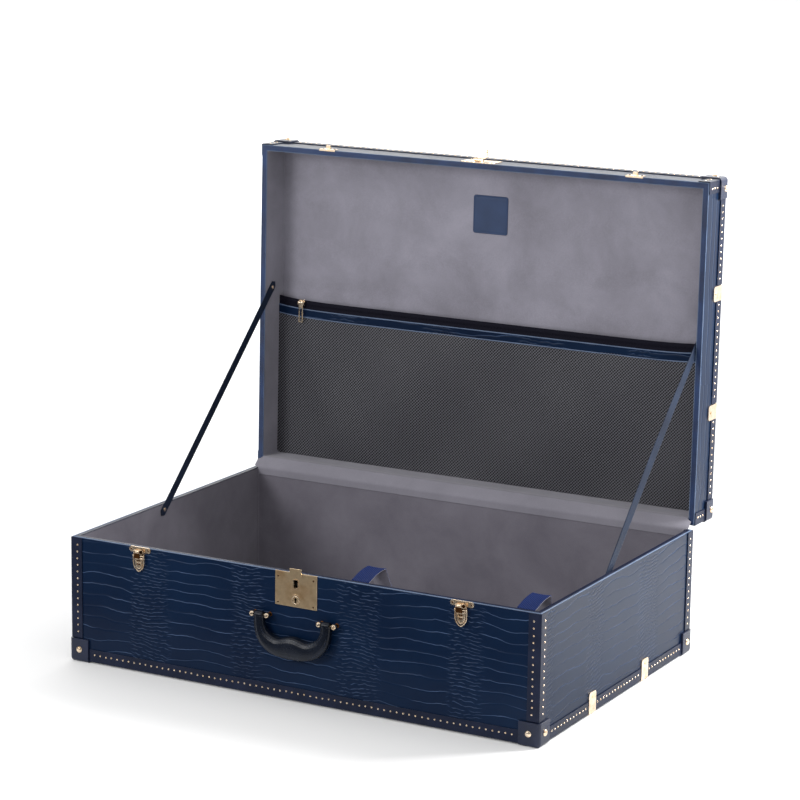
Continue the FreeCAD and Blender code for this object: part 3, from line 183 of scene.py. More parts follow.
@dataclass(frozen=True)
class EmbossedLeather(Finish):
    """Coated cowhide embossed with a reptile grain in a plate press.

    The press leaves long flat glossy scales between thin wavy creases, and between them columns
    of small wavy scales; the creases get a lighter blue as a painted highlight.
    """

    opened: bool = False
    ground: str = "#050F24"
    light_ground: str = "#0A203A"
    # Painted highlight: the creases are laid in this lighter blue for the light that catches their
    # lips.
    crease: str = "#4C6286"
    row_height: float = 17.0
    row_run: float = 95.0
    row_crease: float = 1.5
    scale_height: float = 5.6
    scale_run: float = 11.0
    scale_sway: float = 5.5
    columns: tuple[Pair, ...] = ((-258.0, 66.0), (-84.0, 52.0), (104.0, 70.0), (280.0, 50.0))
    column_edge: float = 5.0
    row_step: float = 0.37
    reach: float = 420.0
    wavers: tuple[Pair, Pair] = ((80.0, 22.0), (15.0, 3.2))
    cloud_size: float = 130.0
    highlight_fade_size: float = 55.0
    pore_size: float = 1.8
    depth: float = 0.4
    gloss: float = 0.1
    slant_gloss: float = 0.11
    roughness: float = 0.28

    def build(self, node: NodeMaker) -> Node:
        """Builds the pressed grain over the outside of a box.

        Args:
            node: adds a node to the material's tree.

        Returns:
            The shader node.
        """
        across, up = self.unrolled(node)
        mask = self.column_mask(node, across)
        row, row_crown = self.rows(node, across, up)
        small, small_crown = self.small_scales(node, across, up)
        crease = node("Mix", {0: mask, 2: row, 3: small}, data_type="FLOAT")
        crown = node("Mix", {0: mask, 2: row_crown, 3: small_crown}, data_type="FLOAT")
        place = self.place(node)
        cloud = node("TexNoise", {"Vector": place, "Scale": 1 / self.cloud_size, "Detail": 3.0})
        ground = node(
            "Mix", {0: cloud, 6: linear(self.ground), 7: linear(self.light_ground)},
            data_type="RGBA",
        )
        # Painted highlight: a broad noise fades the lighter crease colour in and out along the
        # hide.
        highlight_fade = node("TexNoise", {"Vector": place, "Scale": 1 / self.highlight_fade_size, "Detail": 2.0})
        shown = node("MapRange", {0: highlight_fade, 1: 0.35, 2: 0.65, 3: 0.25, 4: 0.75})
        crease_highlight = node("Math", {0: crease, 1: shown}, operation="MULTIPLY")
        pores = node("TexNoise", {"Vector": place, "Scale": 1 / self.pore_size, "Detail": 2.0})
        pitted = node("Math", {0: pores, 1: 0.05, 2: crown}, operation="MULTIPLY_ADD")
        height = node("Math", {0: pitted, 1: crease}, operation="SUBTRACT")
        rough = node("Math", {0: crease, 1: 0.22, 2: self.roughness}, operation="MULTIPLY_ADD")
        facing = node("LayerWeight").outputs["Facing"]
        gloss = node("MapRange", {0: facing, 1: 0.25, 2: 0.6, 3: self.gloss, 4: self.slant_gloss})
        return self.surface(
            node, crease_highlight, (ground.outputs[2], self.crease),
            {"Roughness": rough, "IOR": 1.5, "Specular IOR Level": gloss},
            (height, 1.0, self.depth),
        )

    def unrolled(self, node: NodeMaker) -> tuple[Socket, Socket]:
        """Finds how far along and up a wall a point lies, wavering as the hide stretched.

        Args:
            node: adds a node to the material's tree.

        Returns:
            The place across and the place up, in millimetres.
        """
        place = node("SeparateXYZ", {0: self.place(node)})
        normal = node("TexCoord").outputs["Normal"]
        facing = node("SeparateXYZ", {0: node("VectorMath", {0: normal}, operation="ABSOLUTE")})
        is_side = node("Math", {0: facing, 1: 0.6}, operation="GREATER_THAN")
        lying = node("Math", {0: facing.outputs["Z"], 1: 0.6}, operation="GREATER_THAN")
        wide, deep, high = place.outputs
        across = node(
            "Mix", {0: is_side, 2: wide, 3: high if self.opened else deep}, data_type="FLOAT"
        )
        if self.opened:
            lying = node("Math", {0: is_side, 1: lying}, operation="MAXIMUM")
        up = node("Mix", {0: lying, 2: high, 3: deep}, data_type="FLOAT")
        flat = node("CombineXYZ", {0: across, 1: up})
        for size, reach in self.wavers:
            noise = node("TexNoise", {"Vector": flat, "Scale": 1 / size, "Detail": 1.0})
            centred = node(
                "VectorMath", {0: noise.outputs["Color"], 1: (0.5, 0.5, 0.5)}, operation="SUBTRACT"
            )
            flat = node(
                "VectorMath", {0: centred, 1: (reach, reach, 0.0), 2: flat},
                operation="MULTIPLY_ADD",
            )
        moved = node("SeparateXYZ", {0: flat})
        return moved.outputs["X"], moved.outputs["Y"]

    def marked(
        self, node: NodeMaker, across: Socket, marks: Iterable[Pair], blend: str
    ) -> Node:
        """Gives a value that changes along the wall.

        Args:
            node: adds a node to the material's tree.
            across: the place across.
            marks: where it has which value, beside 0 at both ends.
            blend: how it goes from one mark to the next.

        Returns:
            The node that gives it.
        """
        share = node("MapRange", {0: across, 1: -self.reach, 2: self.reach})
        ramp = node("ValToRGB", {0: share})
        ramp.color_ramp.interpolation = blend
        elements = ramp.color_ramp.elements
        elements[0].color = elements[1].color = (0, 0, 0, 1)
        for place, value in marks:
            made = elements.new((place + self.reach) / (2 * self.reach))
            made.color = (value, value, value, 1)
        return ramp

    def column_mask(self, node: NodeMaker, across: Socket) -> Node:
        """Marks the columns where the press has its small scales.

        Args:
            node: adds a node to the material's tree.
            across: the place across.

        Returns:
            A node that is 1 inside the columns.
        """
        soft, marks = self.column_edge, []
        for centre, width in self.columns:
            low, high = centre - width / 2, centre + width / 2
            marks += [(low - soft, 0.0), (low + soft, 1.0), (high - soft, 1.0), (high + soft, 0.0)]
        return self.marked(node, across, marks, "LINEAR")

    def rows(self, node: NodeMaker, across: Socket, up: Socket) -> tuple[Node, Node]:
        """Lays the long creases, out of step from one column gap to the next.

        Args:
            node: adds a node to the material's tree.
            across: the place across.
            up: the place up.

        Returns:
            The nodes for the crease and for the crown between creases.
        """
        marks, shift = [], 0.0
        for centre, _ in self.columns:
            shift = (shift + self.row_step) % 1.0
            marks.append((centre, shift))
        steps = self.marked(node, across, marks, "CONSTANT")
        scaled = node("Math", {0: up, 1: 1 / self.row_height, 2: steps}, operation="MULTIPLY_ADD")
        half = self.row_crease / self.row_height / 2
        return self.lines(node, across, scaled, half, self.row_run, (0.12, 1.0))

    def lines(
        self, node: NodeMaker, across: Socket, scaled: Node, half: float, run: float, shown: Pair
    ) -> tuple[Node, Node]:
        """Presses one family of creases that come and go along their run.

        Args:
            node: adds a node to the material's tree.
            across: the place across.
            scaled: the place up, counted in rows.
            half: half a crease's width as a share of a row.
            run: how far a crease runs before it fades, in millimetres.
            shown: how strongly a faded and a full crease show.

        Returns:
            The nodes for the crease and for the crown between creases.
        """
        part = node("Math", {0: scaled}, operation="FRACT")
        number = node("Math", {0: scaled}, operation="FLOOR")
        middle = node("Math", {0: part, 1: 0.5}, operation="SUBTRACT")
        off = node("Math", {0: middle}, operation="ABSOLUTE")
        smooth = {"interpolation_type": "SMOOTHSTEP"}
        line = node("MapRange", {0: off, 1: half, 2: 0.0, 3: 0.0, 4: 1.0}, **smooth)
        along_row = node("Math", {0: across, 1: run}, operation="DIVIDE")
        own_row = node("Math", {0: number, 1: 5.3}, operation="MULTIPLY")
        spot = node("CombineXYZ", {0: along_row, 1: own_row})
        fading = node("TexNoise", {"Vector": spot, "Scale": 1.0, "Detail": 0.0})
        kept = node("MapRange", {0: fading, 1: 0.34, 2: 0.5, 3: shown[0], 4: shown[1]})
        crease = node("Math", {0: line, 1: kept}, operation="MULTIPLY")
        foot = min(0.45, half * 3.4)
        return crease, node("MapRange", {0: off, 1: 0.0, 2: foot, 3: 0.0, 4: 0.5}, **smooth)

    def small_scales(self, node: NodeMaker, across: Socket, up: Socket) -> tuple[Node, Node]:
        """Lays the columns' small scales as short wavy creases.

        Args:
            node: adds a node to the material's tree.
            across: the place across.
            up: the place up.

        Returns:
            The nodes for the crease and for the crown between creases.
        """
        spot = node("CombineXYZ", {0: across, 1: up})
        noise = node("TexNoise", {"Vector": spot, "Scale": 1 / self.scale_run, "Detail": 1.0})
        sway = self.scale_sway / self.scale_height
        rows = node("Math", {0: up, 1: 1 / self.scale_height}, operation="MULTIPLY")
        swayed = node("Math", {0: noise, 1: sway, 2: rows}, operation="MULTIPLY_ADD")
        half = self.row_crease / self.scale_height / 2
        return self.lines(node, across, swayed, half, self.scale_run * 0.8, (0.0, 0.6))


@dataclass(frozen=True)
class SmoothLeather(Finish):
    """Full-grain leather, dyed and rolled: fine pores, soft clouds of colour, a low gloss."""

    colour: str = "#1E2233"
    cloud: str = "#2A3044"
    grain: float = 1.6
    relief: float = 0.06
    roughness: float = 0.42
    gloss: float = 0.35
    cloud_size: float = 38.0

    def build(self, node: NodeMaker) -> Node:
        """Builds pebbled pores over clouds of dye.

        Args:
            node: adds a node to the material's tree.

        Returns:
            The shader node.
        """
        place = self.place(node)
        cloud = node("TexNoise", {"Vector": place, "Scale": 1 / self.cloud_size, "Detail": 4.0})
        spread = node("MapRange", {0: cloud, 1: 0.3, 2: 0.7})
        pebble = node(
            "TexVoronoi", {"Vector": place, "Scale": 1 / self.grain}, feature="DISTANCE_TO_EDGE"
        )
        crown = node("MapRange", {0: pebble, 1: 0.0, 2: 0.2})
        low, high = self.roughness - 0.06, self.roughness + 0.08
        rough = node("MapRange", {0: cloud, 1: 0.25, 2: 0.75, 3: low, 4: high})
        return self.surface(
            node, spread, (self.colour, self.cloud),
            {"Roughness": rough, "IOR": 1.5, "Specular IOR Level": self.gloss},
            (crown, 1.0, self.relief),
        )


@dataclass(frozen=True)
class Suede(Finish):
    """Suede split, sanded: a nap without gloss, clouded paler and darker where hands passed."""

    colour: str = "#5E5B64"
    brushed: str = "#75727B"
    nap: float = 1.3
    mark_size: float = 110.0

    def build(self, node: NodeMaker) -> Node:
        """Builds the brushed nap.

        Args:
            node: adds a node to the material's tree.

        Returns:
            The shader node.
        """
        place = self.place(node)
        marks = node(
            "TexNoise", {"Vector": place, "Scale": 1 / self.mark_size, "Detail": 8.0,
                         "Roughness": 0.62, "Distortion": 0.3},
        )
        fibres = node("TexNoise", {"Vector": place, "Scale": 1 / self.nap, "Detail": 2.0})
        joined = node("Math", {0: fibres, 1: 0.35, 2: marks}, operation="MULTIPLY_ADD")
        return self.surface(
            node, node("MapRange", {0: joined, 1: 0.45, 2: 0.9}), (self.colour, self.brushed),
            {"Roughness": 0.95, "IOR": 1.45, "Specular IOR Level": 0.2, "Sheen Weight": 0.2,
             "Sheen Roughness": 0.5},
            (fibres, 0.6, 0.25),
        )


@dataclass(frozen=True)
class Brass(Finish):
    """Brass sheet and castings, polished on a wheel and lacquered: warm, with faint wipe marks."""

    colour: str = "#F3E0C8"
    dark_patch: str = "#DABA92"
    roughness: float = 0.2
    dents: float = 0.1
    patch: float = 9.0

    def build(self, node: NodeMaker) -> Node:
        """Builds polished metal with faint wipe marks.

        Args:
            node: adds a node to the material's tree.

        Returns:
            The shader node.
        """
        place = self.place(node)
        # On the sunk-part and plate copies the darker patch colour is painted shade and painted
        # dark reflection; on bright fittings it gives faint wipe marks.
        cloud = node("TexNoise", {"Vector": place, "Scale": 1 / self.patch, "Detail": 4.0})
        spread = node("MapRange", {0: cloud, 1: 0.4, 2: 0.75})
        low, high = self.roughness - 0.05, self.roughness + 0.1
        rough = node("MapRange", {0: cloud, 1: 0.3, 2: 0.7, 3: low, 4: high})
        return self.surface(
            node, spread, (self.colour, self.dark_patch), {"Roughness": rough, "Metallic": 1.0},
            (cloud, 0.35, self.dents),
        )


@dataclass(frozen=True)
class Plywood(Finish):
    """Birch plywood, sawn: pale plies and darker glue lines on the edges, long grain on faces."""

    light: str = "#C9A97C"
    dark: str = "#9C7A50"
    ply: float = 1.5
    grain: float = 160.0

    def build(self, node: NodeMaker) -> Node:
        """Builds layered wood.

        Args:
            node: adds a node to the material's tree.

        Returns:
            The shader node.
        """
        scale = (1 / self.grain, 1 / self.ply / 2, 1 / self.ply / 2)
        stretched = node("VectorMath", {0: self.place(node), 1: scale}, operation="MULTIPLY")
        grain = node("TexNoise", {"Vector": stretched, "Scale": 1.0, "Detail": 4.0})
        colours = (self.light, self.dark)
        return self.surface(node, grain, colours, {"Roughness": 0.6, "IOR": 1.5})


class Run(Enum):
    """How a weave's ribs lie on the piece."""

    SLANTED = "DIAGONAL"
    LENGTHWISE = "Z"


@dataclass(frozen=True)
class Woven(Finish):
    """Yarns laid side by side in ribs: nylon webbing on the slant, polyester tape lengthwise."""

    # Painted shade: this darker colour fills the low parts of the ribs, where the yarns dip.
    shade: str = "#0B1638"
    colour: str = "#16295C"
    rib: float = 2.2
    waver: float = 0.4
    run: Run = Run.SLANTED
    roughness: float = 0.55
    refraction: float = 1.53
    depth: float = 0.25
    strength: float = 1.0

    def build(self, node: NodeMaker) -> Node:
        """Builds the ribs of yarn.

        Args:
            node: adds a node to the material's tree.

        Returns:
            The shader node.
        """
        waves = {"Vector": self.place(node), "Scale": 0.32 / self.rib, "Distortion": self.waver}
        if self.run is Run.SLANTED:
            waves["Detail"] = 1.0
        wave = node("TexWave", waves, wave_type="BANDS", bands_direction=self.run.value)
        ribs = wave.outputs["Fac"]
        return self.surface(
            node, ribs, (self.shade, self.colour),
            {"Roughness": self.roughness, "IOR": self.refraction, "Specular IOR Level": 0.1},
            (ribs, self.strength, self.depth),
        )


@dataclass(frozen=True)
class Netting(Finish):
    """Knitted polyester net: paler threads crossing in diamonds 5 mm wide, over meshes painted
    near-black for the shaded lining behind.
    """

    thread: str = "#7C7C85"
    # Painted shadow: the open meshes get this near-black for the shaded lining seen through them.
    mesh: str = "#08080A"
    pitch: float = 5.2
    cover: float = 0.18
    soft: float = 0.25

    def build(self, node: NodeMaker) -> Node:
        """Builds two families of slanting threads.

        Args:
            node: adds a node to the material's tree.

        Returns:
            The shader node.
        """
        place = node("SeparateXYZ", {0: self.place(node)}).outputs
        edge = math.cos(math.pi * self.cover)
        families = []
        for operation, shown in (("ADD", 0.62), ("SUBTRACT", 1.0)):
            slant = node("Math", {0: place["X"], 1: place["Z"]}, operation=operation)
            turn = node("Math", {0: slant, 1: TURN / self.pitch}, operation="MULTIPLY")
            wave = node("Math", {0: turn}, operation="COSINE")
            limits = {1: edge - self.soft, 2: edge + self.soft, 4: shown}
            families.append(node("MapRange", {0: wave, **limits}))
        threads = node("Math", dict(enumerate(families)), operation="MAXIMUM")
        return self.surface(
            node, threads, (self.mesh, self.thread),
            {"Roughness": 0.6, "IOR": 1.5, "Specular IOR Level": 0.3}, (threads, 1.0, 0.4),
        )


@dataclass(frozen=True)
class StudioPaper(Finish):
    """White background paper rolled over the floor: matt, with no mark that shows."""

    colour: str = "#E8E8E8"
    glow: float = 0.0

    def build(self, node: NodeMaker) -> Node:
        """Builds matt paper.

        Args:
            node: adds a node to the material's tree.

        Returns:
            The shader node.
        """
        return node(
            "BsdfPrincipled",
            {"Base Color": linear(self.colour), "Roughness": 0.9, "Specular IOR Level": 0.1,
             "Metallic": 0.0, "Emission Color": (1.0, 1.0, 1.0, 1.0),
             "Emission Strength": self.glow},
        )


# Deep blue scales whose creases are painted lighter as a highlight; the lid's runs on over its
# top.
COVER_BASE = EmbossedLeather("embossed leather base", "embossed_leather")
COVER_LID = EmbossedLeather("embossed leather lid", "embossed_leather", opened=True)
# Near-black edges that frame the blue walls, and caps a shade lighter.
TRIM = SmoothLeather("trim leather", "trim_leather", "#0A1226", "#121B33", 1.6, 0.06, 0.4, 0.2)
CAP = SmoothLeather("corner cap leather", "cap_leather", "#0E162A", "#17203A", roughness=0.38)
# A pale line round each rim, painted as a highlight, a dark one inside it, and the lid's wider
# crinkled blue band.
RIM = SmoothLeather("rim leather", "rim_leather", "#46566F", "#5A6A84", roughness=0.34)
PIPING = SmoothLeather("inner piping leather", "rim_leather", "#0A1024", "#121A32", gloss=0.2)
BAND = SmoothLeather("lid rim leather", "rim_leather", "#0D1E3E", "#15305A", 2.4, 0.2, gloss=0.4)
# A smooth dark grip with a long soft highlight.
GRIP = SmoothLeather("handle leather", "grip_leather", "#070C16", "#0E1522", 1.2, 0.02, 0.24, 0.3)
# Dull blue-grey straps, a steel-blue patch, and thread that shows a little over the leather.
STAY = SmoothLeather(
    "stay leather", "stay_leather", "#141C2C", "#1D283B", roughness=0.5, gloss=0.15
)
LABEL = SmoothLeather(
    "label leather", "label_leather", "#22324F", "#2B3C5C", roughness=0.5, gloss=0.25
)
THREAD = SmoothLeather("waxed thread", "grip_leather", "#1D273B", "#2A354B", grain=0.5)
# Warm grey inside with brushed marks; paler in the lid and palest on the hinge cover, as painted
# light.
SUEDE = Suede("suede lining", "suede_lining")
LIT_SUEDE = Suede("suede lining, painted lighter", "suede_lining", "#706E77", "#8A8893")
COVER_SUEDE = Suede("suede hinge cover", "suede_lining", "#77757E", "#85838C")
# Rosy bright fittings with brown painted shade in their recesses; the lock plate is duller and
# patchy.
BRASS = Brass("polished brass", "brass")
# Painted shade: sunk heads, holes, necks and shafts are cast in this dark brass for the shade that
# falls in them.
SHADE_BRASS = Brass("brass painted dark for shade", "brass", "#623E20", "#3A2412", 0.42)
# Painted reflection: the plate's darker patches stand partly for tarnish and partly for the dark
# surroundings it mirrors.
PLATE_BRASS = Brass("satin brass plate", "brass", "#EED3AC", "#A88660", 0.33, 0.02, 22.0)
STEEL = Brass("nickelled steel pins", "steel_pins", "#C9C7C4", "#A9A7A4", 0.25)
# Pale wood that only shows at open edges.
PLY = Plywood("birch plywood", "plywood")
# Royal-blue ribbed webbing, a net of glinting threads over meshes painted dark as shadow, and a
# nearly black zip.
BELT = Woven("nylon webbing", "webbing")
NET = Netting("knitted net", "net")
TAPE = Woven(
    "woven zip tape", "zip_tape", "#090914", "#12111E", 1.4, 0.3, Run.LENGTHWISE,
    roughness=0.7, refraction=1.5, depth=0.2, strength=0.8,
)
# Plain white all round, and a grey card that only shows as a darker reflection.
PAPER = StudioPaper("studio paper", "", glow=0.06)
FLAG = StudioPaper("grey flag cloth", "", "#646464")


class Side(Enum):
    """The faces of the trunk that fittings stand on, as axes across, up and out."""

    FRONT = ((1, 0, 0), (0, 0, 1), (0, -1, 0))
    BACK = ((-1, 0, 0), (0, 0, 1), (0, 1, 0))
    LEFT = ((0, -1, 0), (0, 0, 1), (-1, 0, 0))
    RIGHT = ((0, 1, 0), (0, 0, 1), (1, 0, 0))
    TOP = ((1, 0, 0), (0, 1, 0), (0, 0, 1))

    def frame(self, across: float, up: float, out: float) -> Matrix:
        """Gives the frame of a place on the face.

        Args:
            across: the part's x, or its y on the left and right faces.
            up: the part's z, or its y on top.
            out: how far the face lies from the middle, or from the floor on top.

        Returns:
            A matrix whose axes run across, up and out of the face.
        """
        origin = [abs(a) * across + b * up + c * out for a, b, c in zip(*self.value)]
        return matrix_of(*self.value, origin)

    def wall(self) -> Pair:
        """Gives a wall's half width and how far out its trims' faces lie.

        Returns:
            Both in millimetres.
        """
        if self in (Side.LEFT, Side.RIGHT):
            return TRUNK.face_y, TRUNK.face_x
        return TRUNK.face_x, TRUNK.face_y


def matrix_of(right: Point, up: Point, out: Point, origin: Point) -> Matrix:
    """Builds a matrix from three axes and an origin."""
    return Matrix([[right[i], up[i], out[i], origin[i]] for i in range(3)] + [[0, 0, 0, 1]])


def under(y: float, z: float) -> Matrix:
    """Gives a frame that looks down from the shut lid's ceiling."""
    return matrix_of((1, 0, 0), (0, -1, 0), (0, 0, -1), (0, y, z))


def axle(place: Point) -> Matrix:
    """Gives a frame whose third axis runs along x."""
    return matrix_of((0, 1, 0), (0, 0, 1), (1, 0, 0), place)


@dataclass(frozen=True)
class Trunk:
    """Sizes that the sub-assemblies share."""

    face_x: float = 400.0
    face_y: float = 270.0
    skin_x: float = 398.4
    skin_y: float = 268.4
    inner_x: float = 388.8
    inner_y: float = 258.8
    foot: float = 2.4
    floor_top: float = 14.1
    rim: float = 198.4
    board_top: float = 197.2
    lid_rim: float = 200.4
    lid_board_foot: float = 201.6
    lid_ceiling: float = 257.2
    lid_top: float = 268.4
    cap_proud: float = 2.4
    clips: Pair = (-91.0, 97.0)
    hinge_y: float = 273.0
    hinge_z: float = 199.4
    open_angle: float = 91.0

    def swing(self) -> Matrix:
        """Gives the turn that opens the lid, in millimetres."""
        axis = Vector((0, self.hinge_y, self.hinge_z))
        turn = Matrix.Rotation(-math.radians(self.open_angle), 4, "X")
        return Matrix.Translation(axis) @ turn @ Matrix.Translation(-axis)


TRUNK = Trunk()
BOXES = {"base": BASE, "lid": LID}
WALLS = (Side.FRONT, Side.BACK, Side.LEFT, Side.RIGHT)


def shares(count: int) -> list[float]:
    """Gives shares from 0 to 1 in even steps."""
    return [number / count for number in range(count + 1)]


def turns(count: int) -> list[float]:
    """Gives the angles of a full turn in even steps."""
    return [TURN * number / count for number in range(count)]


def bent(value: float, power: float) -> float:
    """Raises a value to a power and keeps its sign."""
    return math.copysign(abs(value) ** power, value)


def moved(points: Ring, out: float, up: float = 0.0) -> list[Vector]:
    """Moves points out and up."""
    return [point + Vector((0, up, out)) for point in points]


def rounded_box(width: float, height: float, radius: float, steps: int = 5) -> list[Vector]:
    """Draws a rectangle with round corners about the origin.

    Args:
        width: size across.
        height: size up.
        radius: radius of the corners.
        steps: faces on each corner.

    Returns:
        The outline, anticlockwise.
    """
    made = []
    wide, high = width / 2 - radius, height / 2 - radius
    for number, (right, up) in enumerate(((1, 1), (-1, 1), (-1, -1), (1, -1))):
        for share in shares(steps):
            angle = TURN / 4 * (number + share)
            x, y = right * wide + radius * math.cos(angle), up * high + radius * math.sin(angle)
            made.append(Vector((x, y, 0.0)))
    return made


def disc(radius: float, steps: int) -> list[Vector]:
    """Draws a circle by its four quarters."""
    return rounded_box(radius * 2, radius * 2, radius - 0.01, steps)


def inset(outline: Ring, distance: float) -> list[Vector]:
    """Moves an anticlockwise outline inwards along its own normals.

    Args:
        outline: the outline.
        distance: how far in.

    Returns:
        The inset outline, point for point.
    """
    made = []
    for number, point in enumerate(outline):
        before = (point - outline[number - 1]).normalized()
        after = (outline[(number + 1) % len(outline)] - point).normalized()
        mitre = (before + after).normalized()
        share = max(0.35, mitre.dot(after))
        made.append(point + Vector((-mitre.y, mitre.x, 0.0)) * (distance / share))
    return made


def length_of(path: Ring) -> float:
    """Measures a path."""
    return sum((two - one).length for one, two in zip(path, path[1:]))


def along(path: Ring, distance: float) -> Vector:
    """Finds the point at a distance along a path.

    Args:
        path: the points of the path.
        distance: how far along.

    Returns:
        The point.
    """
    for one, two in zip(path, path[1:]):
        length = (two - one).length
        if distance <= length:
            return one.lerp(two, distance / length if length else 0.0)
        distance -= length
    return path[-1]


def spaced(path: Ring, pitch: float, share: float) -> list[tuple[Vector, Vector]]:
    """Steps along a path by an even pitch.

    Args:
        path: the points of the path.
        pitch: distance from one start to the next, fitted to the path's length.
        share: how much of the pitch lies between a start and its end.

    Returns:
        The start and the end of each step.
    """
    total = length_of(path)
    count = max(1, round(total / pitch))
    made = []
    for number in range(count):
        ends = [(number + 0.5 + sign * share / 2) * total / count for sign in (-1, 1)]
        made.append((along(path, ends[0]), along(path, ends[1])))
    return made


def curve_through(points: Sequence[Pair], count: int) -> list[Vector]:
    """Draws an even smooth line through points.

    Args:
        points: the points as y and z.
        count: how many points the line gets.

    Returns:
        Its points, at x = 0.
    """
    knots = [Vector((0, y, z)) for y, z in points]
    fine = []
    for number in range(len(knots) - 1):
        near = [min(max(number + step, 0), len(knots) - 1) for step in (-1, 0, 1, 2)]
        a, b, c, d = [knots[place] for place in near]
        for t in shares(12)[:-1]:
            turning = (2 * a - 5 * b + 4 * c - d) * t * t + (3 * b - a - 3 * c + d) * t ** 3
            fine.append((2 * b + (c - a) * t + turning) * 0.5)
    fine.append(knots[-1])
    total = length_of(fine)
    return [along(fine, total * share) for share in shares(count - 1)]


def strap_section(width: float, thick: float) -> list[Pair]:
    """Draws a flat strap's section with round edges.

    Args:
        width: its width.
        thick: its thickness.

    Returns:
        Points as distance across and out.
    """
    half, deep = width / 2, thick / 2
    upper = [(-half + deep * 0.3, deep * 0.7)]
    upper += [(-half + deep + (width - thick) * share, deep) for share in shares(8)]
    upper += [(half - deep * 0.3, deep * 0.7), (half, 0.0)]
    return upper + [(across, -out) for across, out in upper[-2::-1]] + [(-half, 0.0)]


def put(name: str, data: bpy.types.ID) -> bpy.types.Object:
    """Puts an object with this data in the scene.

    Args:
        name: its name.
        data: its mesh, camera or lamp.

    Returns:
        The object.
    """
    made = bpy.data.objects.new(name, data)
    bpy.context.scene.collection.objects.link(made)
    return made


